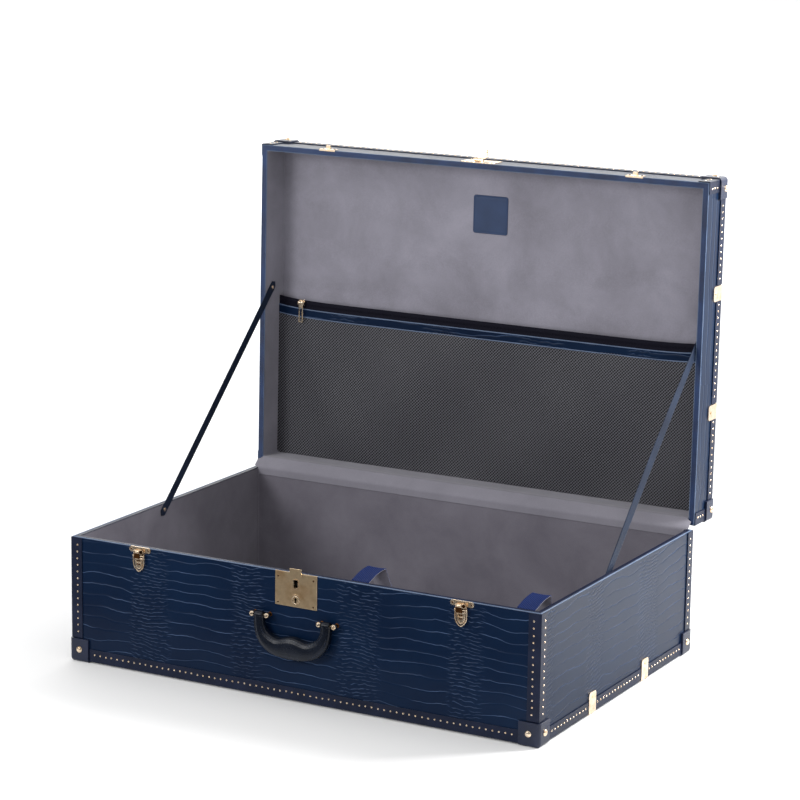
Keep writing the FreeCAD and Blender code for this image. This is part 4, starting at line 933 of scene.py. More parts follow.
class Mould:
    """Gathers the faces of one piece in millimetres and casts them as an object."""

    def __init__(self) -> None:
        """Starts with nothing in the mould."""
        self.mesh = bmesh.new()

    def skin(
        self, rings: Sequence[Ring], place: Matrix = Matrix(), capped: bool = True
    ) -> None:
        """Joins closed rings of points in order with four-sided faces.

        Args:
            rings: rings with the same number of points each.
            place: where they stand.
            capped: whether the first and the last ring get a face.
        """
        made = [[self.mesh.verts.new(place @ point) for point in ring] for ring in rings]
        for one, two in zip(made, made[1:]):
            for corners in zip(one, one[1:] + one[:1], two[1:] + two[:1], two):
                self.mesh.faces.new(corners)
        if capped:
            self.mesh.faces.new(made[0][::-1])
            self.mesh.faces.new(made[-1])

    def slab(
        self, outline: Ring, place: Matrix, low: float, high: float, rounding: float, steps: int
    ) -> None:
        """Raises an outline to a plate whose upper edge is rounded.

        Args:
            outline: the outline, anticlockwise.
            place: where it lies; its third axis points out.
            low: where the plate starts.
            high: where it ends.
            rounding: radius of the upper edge.
            steps: faces on the rounding.
        """
        rings = [moved(outline, low), moved(outline, high - rounding)]
        for share in shares(steps)[1:]:
            angle = TURN / 4 * share
            narrower = inset(outline, rounding * (1 - math.cos(angle)))
            rings.append(moved(narrower, high - rounding + rounding * math.sin(angle)))
        self.skin(rings, place)

    def turned(self, profile: Sequence[Pair], place: Matrix, sides: int) -> None:
        """Turns a profile round the third axis of its place.

        Args:
            profile: radius and height of each ring, from the foot up.
            place: where it stands.
            sides: faces round it.
        """
        self.skin(
            [[Vector((radius * math.cos(turn), radius * math.sin(turn), height))
              for turn in turns(sides)] for radius, height in profile],
            place,
        )

    def dome(self, place: Matrix, radius: float, height: float, sides: int, rings: int) -> None:
        """Sets a round head with its flat side on a face.

        Args:
            place: where it stands.
            radius: radius of its foot.
            height: how high it stands.
            sides: faces round it.
            rings: rings up to its crown.
        """
        profile = [(radius, -0.3)]
        for ring in range(rings + 1):
            angle = TURN / 4 * ring / (rings + 0.45)
            profile.append((radius * math.cos(angle), height * math.sin(angle)))
        self.turned(profile, place, sides)

    def tube(
        self, path: Ring, radius: Union[float, Sequence[float]], place: Matrix = Matrix(),
        sides: int = 8, loop: bool = False,
    ) -> None:
        """Sweeps a round section along a path.

        Args:
            path: the points of its middle line.
            radius: one radius, or one for each point.
            place: where the path lies.
            sides: faces round it.
            loop: whether the path closes on itself.
        """
        sizes = [radius] * len(path) if isinstance(radius, float) else radius
        rings = []
        normal: Optional[Vector] = None
        count = len(path)
        for number, point in enumerate(path):
            before = path[number - 1] if number or loop else point
            after = path[(number + 1) % count] if number < count - 1 or loop else point
            ahead = (after - before).normalized()
            if normal is None:
                helper = Vector((0, 0, 1)) if abs(ahead.z) < 0.9 else Vector((1, 0, 0))
                normal = ahead.cross(helper).normalized()
            normal = (normal - ahead * normal.dot(ahead)).normalized()
            other = ahead.cross(normal)
            ways = [normal * math.cos(turn) + other * math.sin(turn) for turn in turns(sides)]
            rings.append([point + way * sizes[number] for way in ways])
        if loop:
            rings.append(rings[0])
        self.skin(rings, place, capped=not loop)

    def stitches(self, path: Ring, pitch: float, radius: float, share: float = 0.68) -> None:
        """Sews a row of stitches along a path.

        Args:
            path: the points of the seam.
            pitch: distance from one stitch to the next.
            radius: half the thread's thickness.
            share: how much of the pitch each stitch covers.
        """
        for start, end in spaced(path, pitch, share):
            middle, quarter = (start + end) / 2, (end - start) / 4
            thin = radius * 0.35
            points = [start, middle - quarter, middle + quarter, end]
            self.tube(points, [thin, radius, radius, thin], sides=5)

    def frame(self, section: Sequence[Pair], half_x: float, half_y: float, radius: float) -> None:
        """Sweeps a section round a rectangle with round corners.

        Args:
            section: points as distance in from the rectangle and height.
            half_x: half the rectangle's width.
            half_y: half its depth.
            radius: radius of its corners.
        """
        rings = []
        for inward, height in section:
            wide, deep = (half_x - inward) * 2, (half_y - inward) * 2
            rings.append(moved(rounded_box(wide, deep, max(radius - inward, 0.4), 6), height))
        self.skin(rings + rings[:1], capped=False)

    def cast(
        self, name: str, finish: Finish, body: Optional[str], *replaces: str,
        smooth: float = SMOOTH,
    ) -> bpy.types.Object:
        """Makes the gathered faces an object that rides on a body.

        Args:
            name: the piece's name.
            finish: what it is made of.
            body: the body it rides on, or None for a piece that rides on none.
            replaces: the nodes that it stands for.
            smooth: faces that meet at a smaller angle shade as one.

        Returns:
            The new object.
        """
        bmesh.ops.remove_doubles(self.mesh, verts=self.mesh.verts, dist=WELD)
        bmesh.ops.recalc_face_normals(self.mesh, faces=self.mesh.faces)
        mesh = bpy.data.meshes.new(name)
        self.mesh.to_mesh(mesh)
        self.mesh.free()
        mesh.transform(Matrix.Scale(MM, 4) @ (TRUNK.swing() if body == LID else Matrix()))
        for face in mesh.polygons:
            face.use_smooth = True
        mesh.set_sharp_from_angle(angle=math.radians(smooth))
        mesh.materials.append(finish.material())
        made = put(name, mesh)
        if body:
            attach(made, body)
            made.modifiers.new("shade", "WEIGHTED_NORMAL").keep_sharp = True
        if replaces:
            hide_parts(*replaces)
        log.info("%s: %d faces", name, len(mesh.polygons))
        return made


def dress_nodes(finish: Finish, edge: float, *nodes: str) -> None:
    """Gives carried-over nodes their material and, where asked, softer edges.

    Args:
        finish: what they are made of.
        edge: width of the softened edge in millimetres.
        nodes: their names.
    """
    for node in nodes:
        piece = bpy.data.objects[node]
        piece.data.materials.clear()
        piece.data.materials.append(finish.material())
        piece.modifiers.new("weld", "WELD").merge_threshold = NODE_WELD * MM
        if edge:
            bevel = piece.modifiers.new("edge", "BEVEL")
            bevel.width = edge * MM
            bevel.segments = 2
            bevel.limit_method = "ANGLE"
            bevel.angle_limit = math.radians(SMOOTH)
        piece.modifiers.new("shade", "WEIGHTED_NORMAL").keep_sharp = True
        for face in piece.data.polygons:
            face.use_smooth = True
        log.info("%s dressed in %s", node, finish.name)


def slotted_head(mould: Mould, place: Matrix, radius: float) -> None:
    """Sets a low round screw head with a slot across it.

    Args:
        mould: the piece that gets it.
        place: where it stands.
        radius: its radius.
    """
    mould.turned([(radius, -0.2), (radius, 0.15), (radius * 0.9, 0.25)], place, 20)
    half_slot, wide, deep = radius * 0.12, radius * 0.97, radius * 0.85
    for turn in (math.pi, 0.0):
        half_round = []
        for share in shares(9):
            angle = math.pi * share
            y = half_slot + deep * math.sin(angle)
            half_round.append(Vector((wide * math.cos(angle), y, 0)))
        mould.slab(half_round, place @ Matrix.Rotation(turn, 4, "Z"), 0.0, 0.75, 0.35, 2)


def sunk_screw(rims: Mould, heads: Mould, place: Matrix, radius: float, wire: float) -> None:
    """Sinks one small screw, its head painted dark for shade, in a raised rim.

    Args:
        rims: the piece that gets the rim.
        heads: the piece that gets the head.
        place: where it stands.
        radius: the rim's radius.
        wire: how thick the rim is.
    """
    rims.tube(disc(radius, 4), wire, place, 6, loop=True)
    heads.dome(place, 1.5, 0.3, 12, 3)


@dataclass
class Carcass:
    """Boards and the embossed leather that is glued round them."""

    edge: float = 0.5
    walls: tuple[str, ...] = ("front", "back", "left", "right")

    def dress(self) -> None:
        """Dresses the boards and the two leather covers."""
        for box in BOXES:
            dress_nodes(PLY, 0.0, *[f"{box}_{wall}_board" for wall in self.walls])
        dress_nodes(PLY, 0.0, "base_bottom_board", "lid_top_board")
        dress_nodes(COVER_BASE, self.edge, "base_leather_cover")
        dress_nodes(COVER_LID, self.edge, "lid_leather_cover")


@dataclass
class EdgeTrims:
    """Angle strips of dark leather along the edges and the nails that hold them."""

    pitch: float = 10.3
    head: float = 1.6
    height: float = 1.0
    inset: float = 12.0
    clear_cap: float = 37.0
    clip_half: float = 15.0
    base_span: Pair = (43.0, 191.0)
    lid_span: Pair = (206.0, 236.0)
    sway: float = 0.35

    def rows(self, body: str) -> list[tuple[Side, Pair, Pair, float]]:
        """Lists the rows of nails of the base or of the lid.

        Args:
            body: the body they are driven in.

        Returns:
            For each row its face, start, end, and how far out the face lies.
        """
        made = []
        lid = body == LID
        up = TRUNK.lid_top - self.inset if lid else TRUNK.foot + self.inset
        low, high = self.lid_span if lid else self.base_span
        for side in WALLS:
            half, out = side.wall()
            clear, edge = half - self.clear_cap, half - self.inset
            made.append((side, (-clear, up), (clear, up), out))
            made += [(side, (end, low), (end, high), out) for end in (-edge, edge)]
        if lid:
            x, y = TRUNK.face_x - self.clear_cap, TRUNK.face_y - self.inset
            made += [(Side.TOP, (-x, end), (x, end), TRUNK.lid_top) for end in (-y, y)]
            x, y = TRUNK.face_x - self.inset, TRUNK.face_y - self.clear_cap
            made += [(Side.TOP, (end, -y), (end, y), TRUNK.lid_top) for end in (-x, x)]
        return made

    def nails(self, name: str, body: str) -> None:
        """Drives the nails of the base or of the lid.

        Args:
            name: the piece's name.
            body: the body they are driven in.
        """
        chance = random.Random(7 if body == LID else 3)
        mould = Mould()
        for side, start, end, out in self.rows(body):
            row = [Vector((*start, 0.0)), Vector((*end, 0.0))]
            flank = side in (Side.LEFT, Side.RIGHT) and end[0] > start[0]
            for one, two in spaced(row, self.pitch, 0.1):
                centre = (one + two) / 2
                if flank and any(abs(centre.x - clip) < self.clip_half for clip in TRUNK.clips):
                    continue
                across = centre.x + chance.uniform(-self.sway, self.sway)
                up = centre.y + chance.uniform(-self.sway, self.sway)
                mould.dome(side.frame(across, up, out), self.head, self.height, 8, 2)
        mould.cast(name, BRASS, body, smooth=60)

    def dress(self) -> None:
        """Dresses the strips and drives their nails."""
        dress_nodes(TRIM, 0.5, "base_corner_trims", "base_bottom_trims", "lid_edge_trims")
        for box, body in BOXES.items():
            self.nails(f"{box}_nails", body)


@dataclass
class CornerCaps:
    """Moulded leather caps on the eight corners, each with domed studs."""

    inset: float = 18.0
    rise: float = 20.0
    lid_drop: float = 11.0
    radius: float = 5.2
    height: float = 3.0

    def dress(self) -> None:
        """Dresses the caps and sets their round studs."""
        for box, body in BOXES.items():
            dress_nodes(CAP, 0.6, f"{box}_corner_caps")
            lid_up = TRUNK.lid_top + TRUNK.cap_proud - self.lid_drop
            mould = Mould()
            for side in WALLS:
                half, out = [reach + TRUNK.cap_proud for reach in side.wall()]
                for end in (self.inset - half, half - self.inset):
                    place = side.frame(end, lid_up if body == LID else self.rise, out)
                    mould.dome(place, self.radius, self.height, 24, 6)
            mould.cast(f"{box}_cap_domes", BRASS, body, f"{box}_cap_studs", smooth=70)


@dataclass
class SideClips:
    """Brass clips bent round the side edges, each with a rivet."""

    proud: float = 2.0
    rivet: float = 2.4
    rivet_height: float = 1.1
    reach: float = 25.0

    def dress(self) -> None:
        """Dresses the clips and sets their rivets."""
        for box, body in BOXES.items():
            dress_nodes(BRASS, 0.35, f"{box}_side_clips")
            mould = Mould()
            up = TRUNK.lid_top - self.reach if body == LID else TRUNK.foot + self.reach
            for side in (Side.LEFT, Side.RIGHT):
                for clip in TRUNK.clips:
                    place = side.frame(clip, up, TRUNK.skin_x + self.proud)
                    mould.dome(place, self.rivet, self.rivet_height, 14, 4)
            mould.cast(f"{box}_clip_rivets", PLATE_BRASS, body, smooth=60)


@dataclass
class Hinges:
    """Three brass butt hinges with their pins and screws."""

    places: tuple[float, ...] = (-250.0, 0.0, 250.0)
    leaf_thick: float = 1.6
    screw: float = 3.3
    screw_reach: float = 21.0
    slots: Pair = (0.6, 1.1)
    rows: tuple[Pair, Pair] = ((188.0, 171.0), (211.0, 228.0))

    def dress(self) -> None:
        """Dresses leaves and pins and drives the slotted screws, three in each leaf."""
        out = TRUNK.skin_y + self.leaf_thick
        for (box, body), (near, far) in zip(BOXES.items(), self.rows):
            dress_nodes(BRASS, 0.3, f"hinge_{box}_leaves")
            mould = Mould()
            for centre in self.places:
                spots = [(-self.screw_reach, near), (self.screw_reach, near), (0.0, far)]
                for number, (across, up) in enumerate(spots):
                    turn = Matrix.Rotation(self.slots[0] + number * self.slots[1], 4, "Z")
                    place = Side.BACK.frame(centre + across, up, out) @ turn
                    slotted_head(mould, place, self.screw)
            mould.cast(f"hinge_{box}_screws", BRASS, body, smooth=50)
        dress_nodes(STEEL, 0.0, "hinge_pins")


@dataclass
class Lock:
    """The brass lock plate with its key hole, the case behind it, the bolt and the hasp."""

    thick: float = 1.6
    key_height: float = 157.4
    ring: float = 5.8
    slot: Pair = (7.6, 12.9)
    slot_height: float = 181.6
    pins: Point = (30.0, 190.4, 150.8)
    hasp_thick: float = 1.2
    hasp_pins: Point = (25.0, 206.0, 229.0)

    def screws(
        self, names: Sequence[str], body: str, rims: Mould, thick: float, pins: Point
    ) -> None:
        """Sinks the four screws of a plate.

        Args:
            names: the names of the rims' piece and of the heads' piece.
            body: the body they ride on.
            rims: the piece that gets the rims.
            thick: the plate's thickness.
            pins: how far across the screws stand, and their two heights.
        """
        heads = Mould()
        for across in (-pins[0], pins[0]):
            for up in pins[1:]:
                place = Side.FRONT.frame(across, up, TRUNK.skin_y + thick)
                sunk_screw(rims, heads, place, 1.5, 0.4)
        rims.cast(names[0], BRASS, body, smooth=60)
        heads.cast(names[1], SHADE_BRASS, body, smooth=60)

    def dress(self) -> None:
        """Dresses the lock and sets its rims and screws."""
        dress_nodes(PLATE_BRASS, 0.7, "lock_plate")
        dress_nodes(BRASS, 0.25, "hasp_plate", "hasp")
        dress_nodes(STEEL, 0.0, "lock_case", "lock_bolt")
        frame = Side.FRONT.frame(0, 0, TRUNK.skin_y + self.thick)
        rims = Mould()
        rims.tube(moved(disc(self.ring, 8), 0.5, self.key_height), 0.8, frame, 8, loop=True)
        slot = moved(rounded_box(*self.slot, 0.9, 3), 0.1, self.slot_height)
        rims.tube(slot, 0.55, frame, 6, loop=True)
        names = ("lock_ring_and_rims", "lock_screw_heads")
        self.screws(names, BASE, rims, self.thick, self.pins)
        names = ("hasp_screw_rims", "hasp_screw_heads")
        self.screws(names, LID, Mould(), self.hasp_thick, self.hasp_pins)


@dataclass
class Latches:
    """Two draw latches: crowned shields on eared plates, and wire loops that go over hooks."""

    place: float = 274.0
    axis: Pair = (-272.8, 191.4)
    loop_pin: float = 185.4
    flange: Pair = (38.0, 8.6)
    tail: Pair = (15.0, 34.0)
    thick: float = 1.2
    barrel: float = 2.7
    barrel_ends: Pair = (-6.1, 1.0)
    knuckle_ends: Pair = (-8.0, -6.4)
    pin_end: float = 7.9
    shield: Point = (7.4, 182.6, 175.0, 163.8)
    shield_back: float = 269.9
    shield_thick: float = 3.2
    loop: Point = (9.2, 175.6, 161.4)
    wire: float = 1.0
    ear_screw: float = 15.2
    cup: float = 3.0
    cup_height: float = 3.0
    cup_place: Point = (3.4, 0.6, 0.5)
    catch_pin: Point = (10.5, 6.0, 1.2)
    loop_pin_half: float = 10.3
    pin_radius: float = 0.95
    petal: Point = (2.7, 1.35, 1.1)
    petal_drop: float = 3.6
    petal_oval: float = 1.15

    def outline(self, half: float, top: float, bend: float, tip: float) -> list[Vector]:
        """Draws a shield: square shoulders, straight sides and a rounded point.

        Args:
            half: half its width.
            top: its upper edge.
            bend: where its sides start to close.
            tip: its point.

        Returns:
            The outline from the upper left, round the point, to the upper right.
        """
        made = [Vector((-half, top, 0)), Vector((-half, (top + bend) / 2, 0))]
        for share in shares(16):
            angle = math.pi * share
            y = bend + (tip - bend) * math.sin(angle) ** 0.9
            made.append(Vector((-half * bent(math.cos(angle), 1.55), y, 0)))
        return made + [Vector((half, (top + bend) / 2, 0)), Vector((half, top, 0))]

    def plate(self, side: str, centre: float) -> None:
        """Makes the eared plate with its knuckles and its sunk screws.

        Args:
            side: left or right.
            centre: the latch's middle.
        """
        mould, dark = Mould(), Mould()
        wide, high = self.flange
        middle = TRUNK.rim - high / 2
        place = Side.FRONT.frame(centre, middle, TRUNK.skin_y)
        mould.slab(rounded_box(wide, high, high / 2 - 0.3, 6), place, 0, self.thick, 0.6, 3)
        wide, high = self.tail
        place = Side.FRONT.frame(centre, TRUNK.rim - high / 2, TRUNK.skin_y)
        tail = rounded_box(wide, high, wide / 2 - 0.5, 6)
        mould.slab(tail, place, 0, self.thick - 0.3, 0.4, 2)
        low, high = self.knuckle_ends
        pin = axle((centre, *self.axis))
        mould.turned([(1.6, low), (2.6, low), (3.1, low + 0.5), (3.1, high), (1.0, high)], pin, 20)
        mould.turned([(self.pin_radius, x) for x in (low, self.pin_end)], pin, 20)
        spot = Vector((centre, *self.axis)) + Vector(self.cup_place)
        aim = matrix_of((0.8, 0.6, 0), (0, 0, 1), (0.6, -0.8, 0), spot)
        circle = disc(self.cup, 6)
        lip = self.cup_height
        mould.slab(circle, aim, 0, lip, 0.3, 2)
        mould.tube(moved(circle, lip - 0.1), 0.45, aim, 8, loop=True)
        # Painted shadow: the cup's inside is dark brass for the shade in its opening.
        dark.slab(inset(circle, 0.3), aim, lip - 0.4, lip + 0.5, 0.3, 2)
        for across in (-self.ear_screw, self.ear_screw):
            place = Side.FRONT.frame(centre + across, middle, TRUNK.skin_y + self.thick)
            sunk_screw(mould, dark, place, 1.6, 0.35)
        mould.cast(f"{side}_latch_flange", BRASS, BASE, f"{side}_latch_plate", smooth=50)
        dark.cast(f"{side}_latch_recesses", SHADE_BRASS, BASE, smooth=60)

    def lever(self, side: str, centre: float) -> None:
        """Makes the lever: barrel, sunk neck, and shield with a raised rim and a rosette.

        Args:
            side: left or right.
            centre: the latch's middle.
        """
        mould, dark = Mould(), Mould()
        low, high = self.barrel_ends
        size, less = self.barrel, self.barrel - 0.4
        profile = [(1.2, low), (less, low), (size, low + 0.4)]
        profile += [(size, high - 0.4), (less, high), (1.2, high)]
        mould.turned(profile, axle((centre, *self.axis)), 20)
        half, top, bend, tip = self.shield
        # Painted shade: the sunk neck is cast in dark brass for the shade under the barrel.
        neck = rounded_box(high - low + 2.6, self.axis[1] - top + 3.0, 0.5, 2)
        across = centre + (low + high) / 2
        place = Side.FRONT.frame(across, (self.axis[1] + top) / 2, -self.axis[0] - 1.2)
        dark.slab(neck, place, 0.0, 2.9, 0.5, 2)
        frame = Side.FRONT.frame(centre, 0, self.shield_back)
        face = self.outline(half, top, bend, tip)
        mould.slab(face, frame, 0, self.shield_thick, 1.1, 4)
        mould.tube(moved(inset(face, 1.5), self.shield_thick), 0.8, frame, 8, loop=True)
        floor = self.shield_thick - 0.1
        crown = (top + bend) / 2 - self.petal_drop
        spread, size, rise = self.petal
        for number, angle in enumerate(turns(6) + [0.0]):
            reach = 0.0 if number == 6 else spread
            up = crown + reach * math.sin(angle) * self.petal_oval
            spot = Matrix.Translation((reach * math.cos(angle), up, floor))
            # Painted shade: most petals of the rosette are cast in dark brass.
            leaf = mould if number % 3 == 0 else dark
            leaf.dome(frame @ spot, size, rise, 12, 4)
        ends = (centre - self.loop_pin_half, centre + self.loop_pin_half)
        pin = [Vector((x, self.axis[0], self.loop_pin)) for x in ends]
        mould.tube(pin, self.pin_radius, sides=12)
        body = f"{side}_latch_lever"
        mould.cast(f"{side}_latch_shield", BRASS, body, body, smooth=50)
        dark.cast(f"{side}_latch_sunk_faces", SHADE_BRASS, body, smooth=50)

    def bail(self, side: str, centre: float) -> None:
        """Bends the wire loop that hangs round the shield.

        Args:
            side: left or right.
            centre: the latch's middle.
        """
        half, bend, tip = self.loop
        mould = Mould()
        path = self.outline(half, self.loop_pin, bend, tip)
        mould.tube(path, self.wire, Side.FRONT.frame(centre, 0, -self.axis[0]), 12)
        for across in (-half, half):
            eye = axle((centre + across, self.axis[0], self.loop_pin))
            mould.turned([(1.2, -1.0), (1.8, -0.6), (1.8, 0.6), (1.2, 1.0)], eye, 16)
        body = f"{side}_latch_loop"
        mould.cast(f"{side}_latch_wire", BRASS, body, body, smooth=60)

    def dress(self) -> None:
        """Makes both latches and dresses the lid's catches."""
        pins = Mould()
        reach, rise, out = self.catch_pin
        for side, centre in (("left", -self.place), ("right", self.place)):
            self.plate(side, centre)
            self.lever(side, centre)
            self.bail(side, centre)
            dress_nodes(BRASS, 0.3, f"{side}_latch_catch")
            for x in (centre - reach, centre + reach):
                place = Side.FRONT.frame(x, TRUNK.lid_rim + rise, TRUNK.skin_y + out)
                pins.dome(place, 1.6, 0.8, 12, 3)
        pins.cast("catch_pins", SHADE_BRASS, LID, smooth=60)


@dataclass
class CarryHandle:
    """A stuffed leather grip on ball-headed brass posts."""

    spread: float = 57.0
    axis_y: float = -278.4
    axis_z: float = 128.9
    drop: float = 64.0
    height: float = 35.0
    depth: float = 20.0
    hump: float = 7.0
    hump_share: float = 0.55
    arm: float = 17.0
    arm_depth: float = 13.0
    power: float = 2.7
    flat: float = 0.74
    eye: float = 6.0
    eye_width: float = 14.0
    ball: float = 4.6
    ball_spacing: float = 25.0
    bar: float = 2.0
    seam_inset: float = 4.6
    seam_sunk: float = 0.75
    seam_clear: int = 5
    stitch: Pair = (4.2, 0.36)
    groove: Pair = (0.9, 0.8)
    stations: int = 64
    around: int = 44

    def station(self, turn: float) -> tuple[Vector, Vector, float, float]:
        """Finds the grip's section at an angle round its U.

        Args:
            turn: angle from the right end, round below, to the left end.

        Returns:
            Centre, outward direction, half length and half depth.
        """
        middle = self.drop - self.height / 2
        x_share = bent(math.cos(turn), 2 / self.power)
        z_share = abs(math.sin(turn)) ** (2 / self.power)
        centre = Vector((self.spread * x_share, self.axis_y, self.axis_z - middle * z_share))
        steep = self.power - 1
        outward = Vector((bent(x_share, steep) / self.spread, 0.0, -(z_share ** steep) / middle))
        outward.normalize()
        filled = max(0.0, 1 - abs(x_share) ** 4)
        humped = max(0.0, 1 - (x_share / self.hump_share) ** 2) ** 2
        length = self.arm + (self.height - self.hump - self.arm) * filled
        inward = self.hump * humped / 2
        depth = self.arm_depth + (self.depth - self.arm_depth) * filled
        return centre - outward * inward, outward, length / 2 + inward, depth / 2

    def section(self, turn: float) -> list[Vector]:
        """Draws the flat-faced section with a pressed line along each edge.

        Args:
            turn: angle round the U.

        Returns:
            The ring of points.
        """
        centre, outward, length, depth = self.station(turn)
        sunk, wide = self.groove
        ring = []
        for angle in turns(self.around):
            out = length * bent(math.cos(angle), self.flat)
            beside = abs(abs(out) - (length - self.seam_inset))
            press = sunk * math.exp(-((beside / wide) ** 2))
            y = -(depth - press) * bent(math.sin(angle), self.flat)
            ring.append(centre + outward * out + Vector((0, y, 0)))
        return ring

    def grip(self) -> None:
        """Makes the grip, its eyes and the seams along its edges."""
        mould, seams = Mould(), Mould()
        angles = [math.pi * share for share in shares(self.stations)]
        mould.skin([self.section(angle) for angle in angles])
        half, size = self.eye_width / 2, self.eye
        for x in (-self.spread, self.spread):
            profile = [(size * 0.75, -half), (size * 0.93, -half + 0.7), (size, -half + 2)]
            profile += [(radius, -height) for radius, height in profile[::-1]]
            mould.turned(profile, axle((x, self.axis_y, self.axis_z)), 24)
        body = "handle_grip"
        mould.cast("handle_padded_grip", GRIP, body, body, smooth=50)
        for sign in (-1, 1):
            for front in (-1, 1):
                path = []
                for angle in angles[self.seam_clear:-self.seam_clear]:
                    centre, outward, length, depth = self.station(angle)
                    out = length - self.seam_inset
                    rise = (1 - (out / length) ** (2 / self.flat)) ** (self.flat / 2)
                    y = front * (depth * rise - self.seam_sunk)
                    path.append(centre + outward * sign * out + Vector((0, y, 0)))
                seams.stitches(path, *self.stitch)
        seams.cast("handle_seams", THREAD, body, smooth=60)

    def mounts(self) -> None:
        """Makes the posts with their feet, balls and bars."""
        reach, half = -self.axis_y - TRUNK.skin_y, self.ball_spacing / 2
        shaft = [(3.6, -0.2), (3.6, 0.5), (3.2, 0.9), (2.6, 1.1), (2.4, 2.0)]
        shaft += [(2.4, reach - 4.6), (2.8, reach - 3.8)]
        angles = [math.pi * share for share in shares(12)[1:-1]]
        ball = [(self.ball * math.sin(a), reach - self.ball * math.cos(a)) for a in angles]
        for name, centre in (("left", -self.spread), ("right", self.spread)):
            mould, shafts = Mould(), Mould()
            for x in (centre - half, centre + half):
                place = Side.FRONT.frame(x, self.axis_z, TRUNK.skin_y)
                shafts.turned(shaft, place, 24)
                mould.turned(ball, place, 28)
            ends = [Vector((x, self.axis_y, self.axis_z)) for x in (centre - half, centre + half)]
            mould.tube(ends, self.bar, sides=16)
            # Painted shade: the shafts and feet are cast in dark brass for the shade behind the
            # balls.
            shafts.cast(f"handle_{name}_shafts", SHADE_BRASS, BASE, smooth=50)
            mould.cast(f"handle_{name}_posts", BRASS, BASE, f"handle_{name}_mount", smooth=50)

    def dress(self) -> None:
        """Makes the grip and its posts."""
        self.grip()
        self.mounts()


@dataclass
class Lining:
    """Suede trays inside the base and the lid, with welts down the corners."""

    corner: float = 4.0
    thick: float = 0.7
    lap: float = 3.0
    pad: float = 1.6
    pad_gap: float = 2.5
    pad_corner: float = 6.0
    welt: float = 0.9

    def dress(self) -> None:
        """Lines base and lid: walls, a pad on the floor or the ceiling, and corner welts."""
        wide, deep = TRUNK.inner_x, TRUNK.inner_y
        thick, lap = self.thick, self.lap
        for box, body, finish, floor, top, up in (
            ("base", BASE, SUEDE, TRUNK.floor_top, TRUNK.board_top, 1),
            ("lid", LID, LIT_SUEDE, TRUNK.lid_ceiling, TRUNK.lid_board_foot, -1),
        ):
            mould = Mould()
            wall = [(-thick, floor - 0.5 * up), (-thick, top), (-thick + 0.3, top + 0.1 * up)]
            wall += [(-0.1, top), (0.0, top - 0.6 * up), (0.0, floor + 3 * up)]
            wall += [(0.6, floor + 0.8 * up), (lap, floor), (lap, floor - 0.5 * up)]
            mould.frame(wall, wide, deep, self.corner)
            gap = self.pad_gap
            pad = rounded_box((wide - gap) * 2, (deep - gap) * 2, self.pad_corner)
            sunk = floor - 0.4 * up
            place = under(0, sunk) if body == LID else Side.TOP.frame(0, 0, sunk)
            mould.slab(pad, place, 0, self.pad, self.pad * 0.8, 4)
            low, high = sorted((floor + 2.0 * up, top - 0.8 * up))
            for right in (-1, 1):
                for back in (-1, 1):
                    x, y = right * (wide - self.corner * 0.35), back * (deep - self.corner * 0.35)
                    path = [Vector((x, y, low + (high - low) * share)) for share in shares(6)]
                    mould.tube(path, self.welt)
            mould.cast(f"{box}_suede_lining", finish, body, f"{box}_lining")


@dataclass
class RimBindings:
    """Leather folded over the rims: pale outside as a painted highlight, and dark inside; the
    lid's is a piped band.
    """

    roll: float = 2.6
    piping: float = 1.3
    depth: float = 1.2
    corner: float = 1.6

    def strip(
        self, name: str, finish: Finish, body: str, start: float, end: float, rise: float,
        flat: float, *replaces: str,
    ) -> None:
        """Makes one strip that runs round a rim.

        Args:
            name: the piece's name.
            finish: what it is made of.
            body: the body whose rim it binds.
            start: where it starts, in from the skin.
            end: where it ends.
            rise: how far its crown lies from the rim's plane.
            flat: how much of its width is flat.
            replaces: the nodes that it stands for.
        """
        top, up = (TRUNK.lid_rim, -1) if body == LID else (TRUNK.rim, 1)
        half = (end - start) / 2
        section = []
        for share in shares(10):
            angle = math.pi * share
            reach = -math.cos(angle)
            inward = start + half + reach * (half - flat / 2) + math.copysign(flat / 2, reach)
            section.append((inward, top + up * (rise - self.depth * (1 - math.sin(angle)))))
        mould = Mould()
        mould.frame(section, TRUNK.skin_x, TRUNK.skin_y, self.corner)
        mould.cast(name, finish, body, *replaces)

    def dress(self) -> None:
        """Binds both rims."""
        wall = TRUNK.skin_x - TRUNK.inner_x
        near, far = wall - self.piping + 0.2, wall + 0.2
        # Painted highlight: the pale roll and the lid's pipings stand for the light along the
        # rims' edges.
        self.strip("base_rim_roll", RIM, BASE, 0.0, self.roll, 0.0, 0.4, "base_rim_binding")
        self.strip("base_rim_piping", PIPING, BASE, self.roll - 0.3, far, -0.1, 2.0)
        self.strip("lid_rim_band", BAND, LID, 0.8, wall - 0.8, -0.25, 6.0, "lid_rim_binding")
        self.strip("lid_outer_piping", RIM, LID, 0.0, self.piping, 0.0, 0.0)
        self.strip("lid_inner_piping", RIM, LID, near, far, 0.0, 0.0)


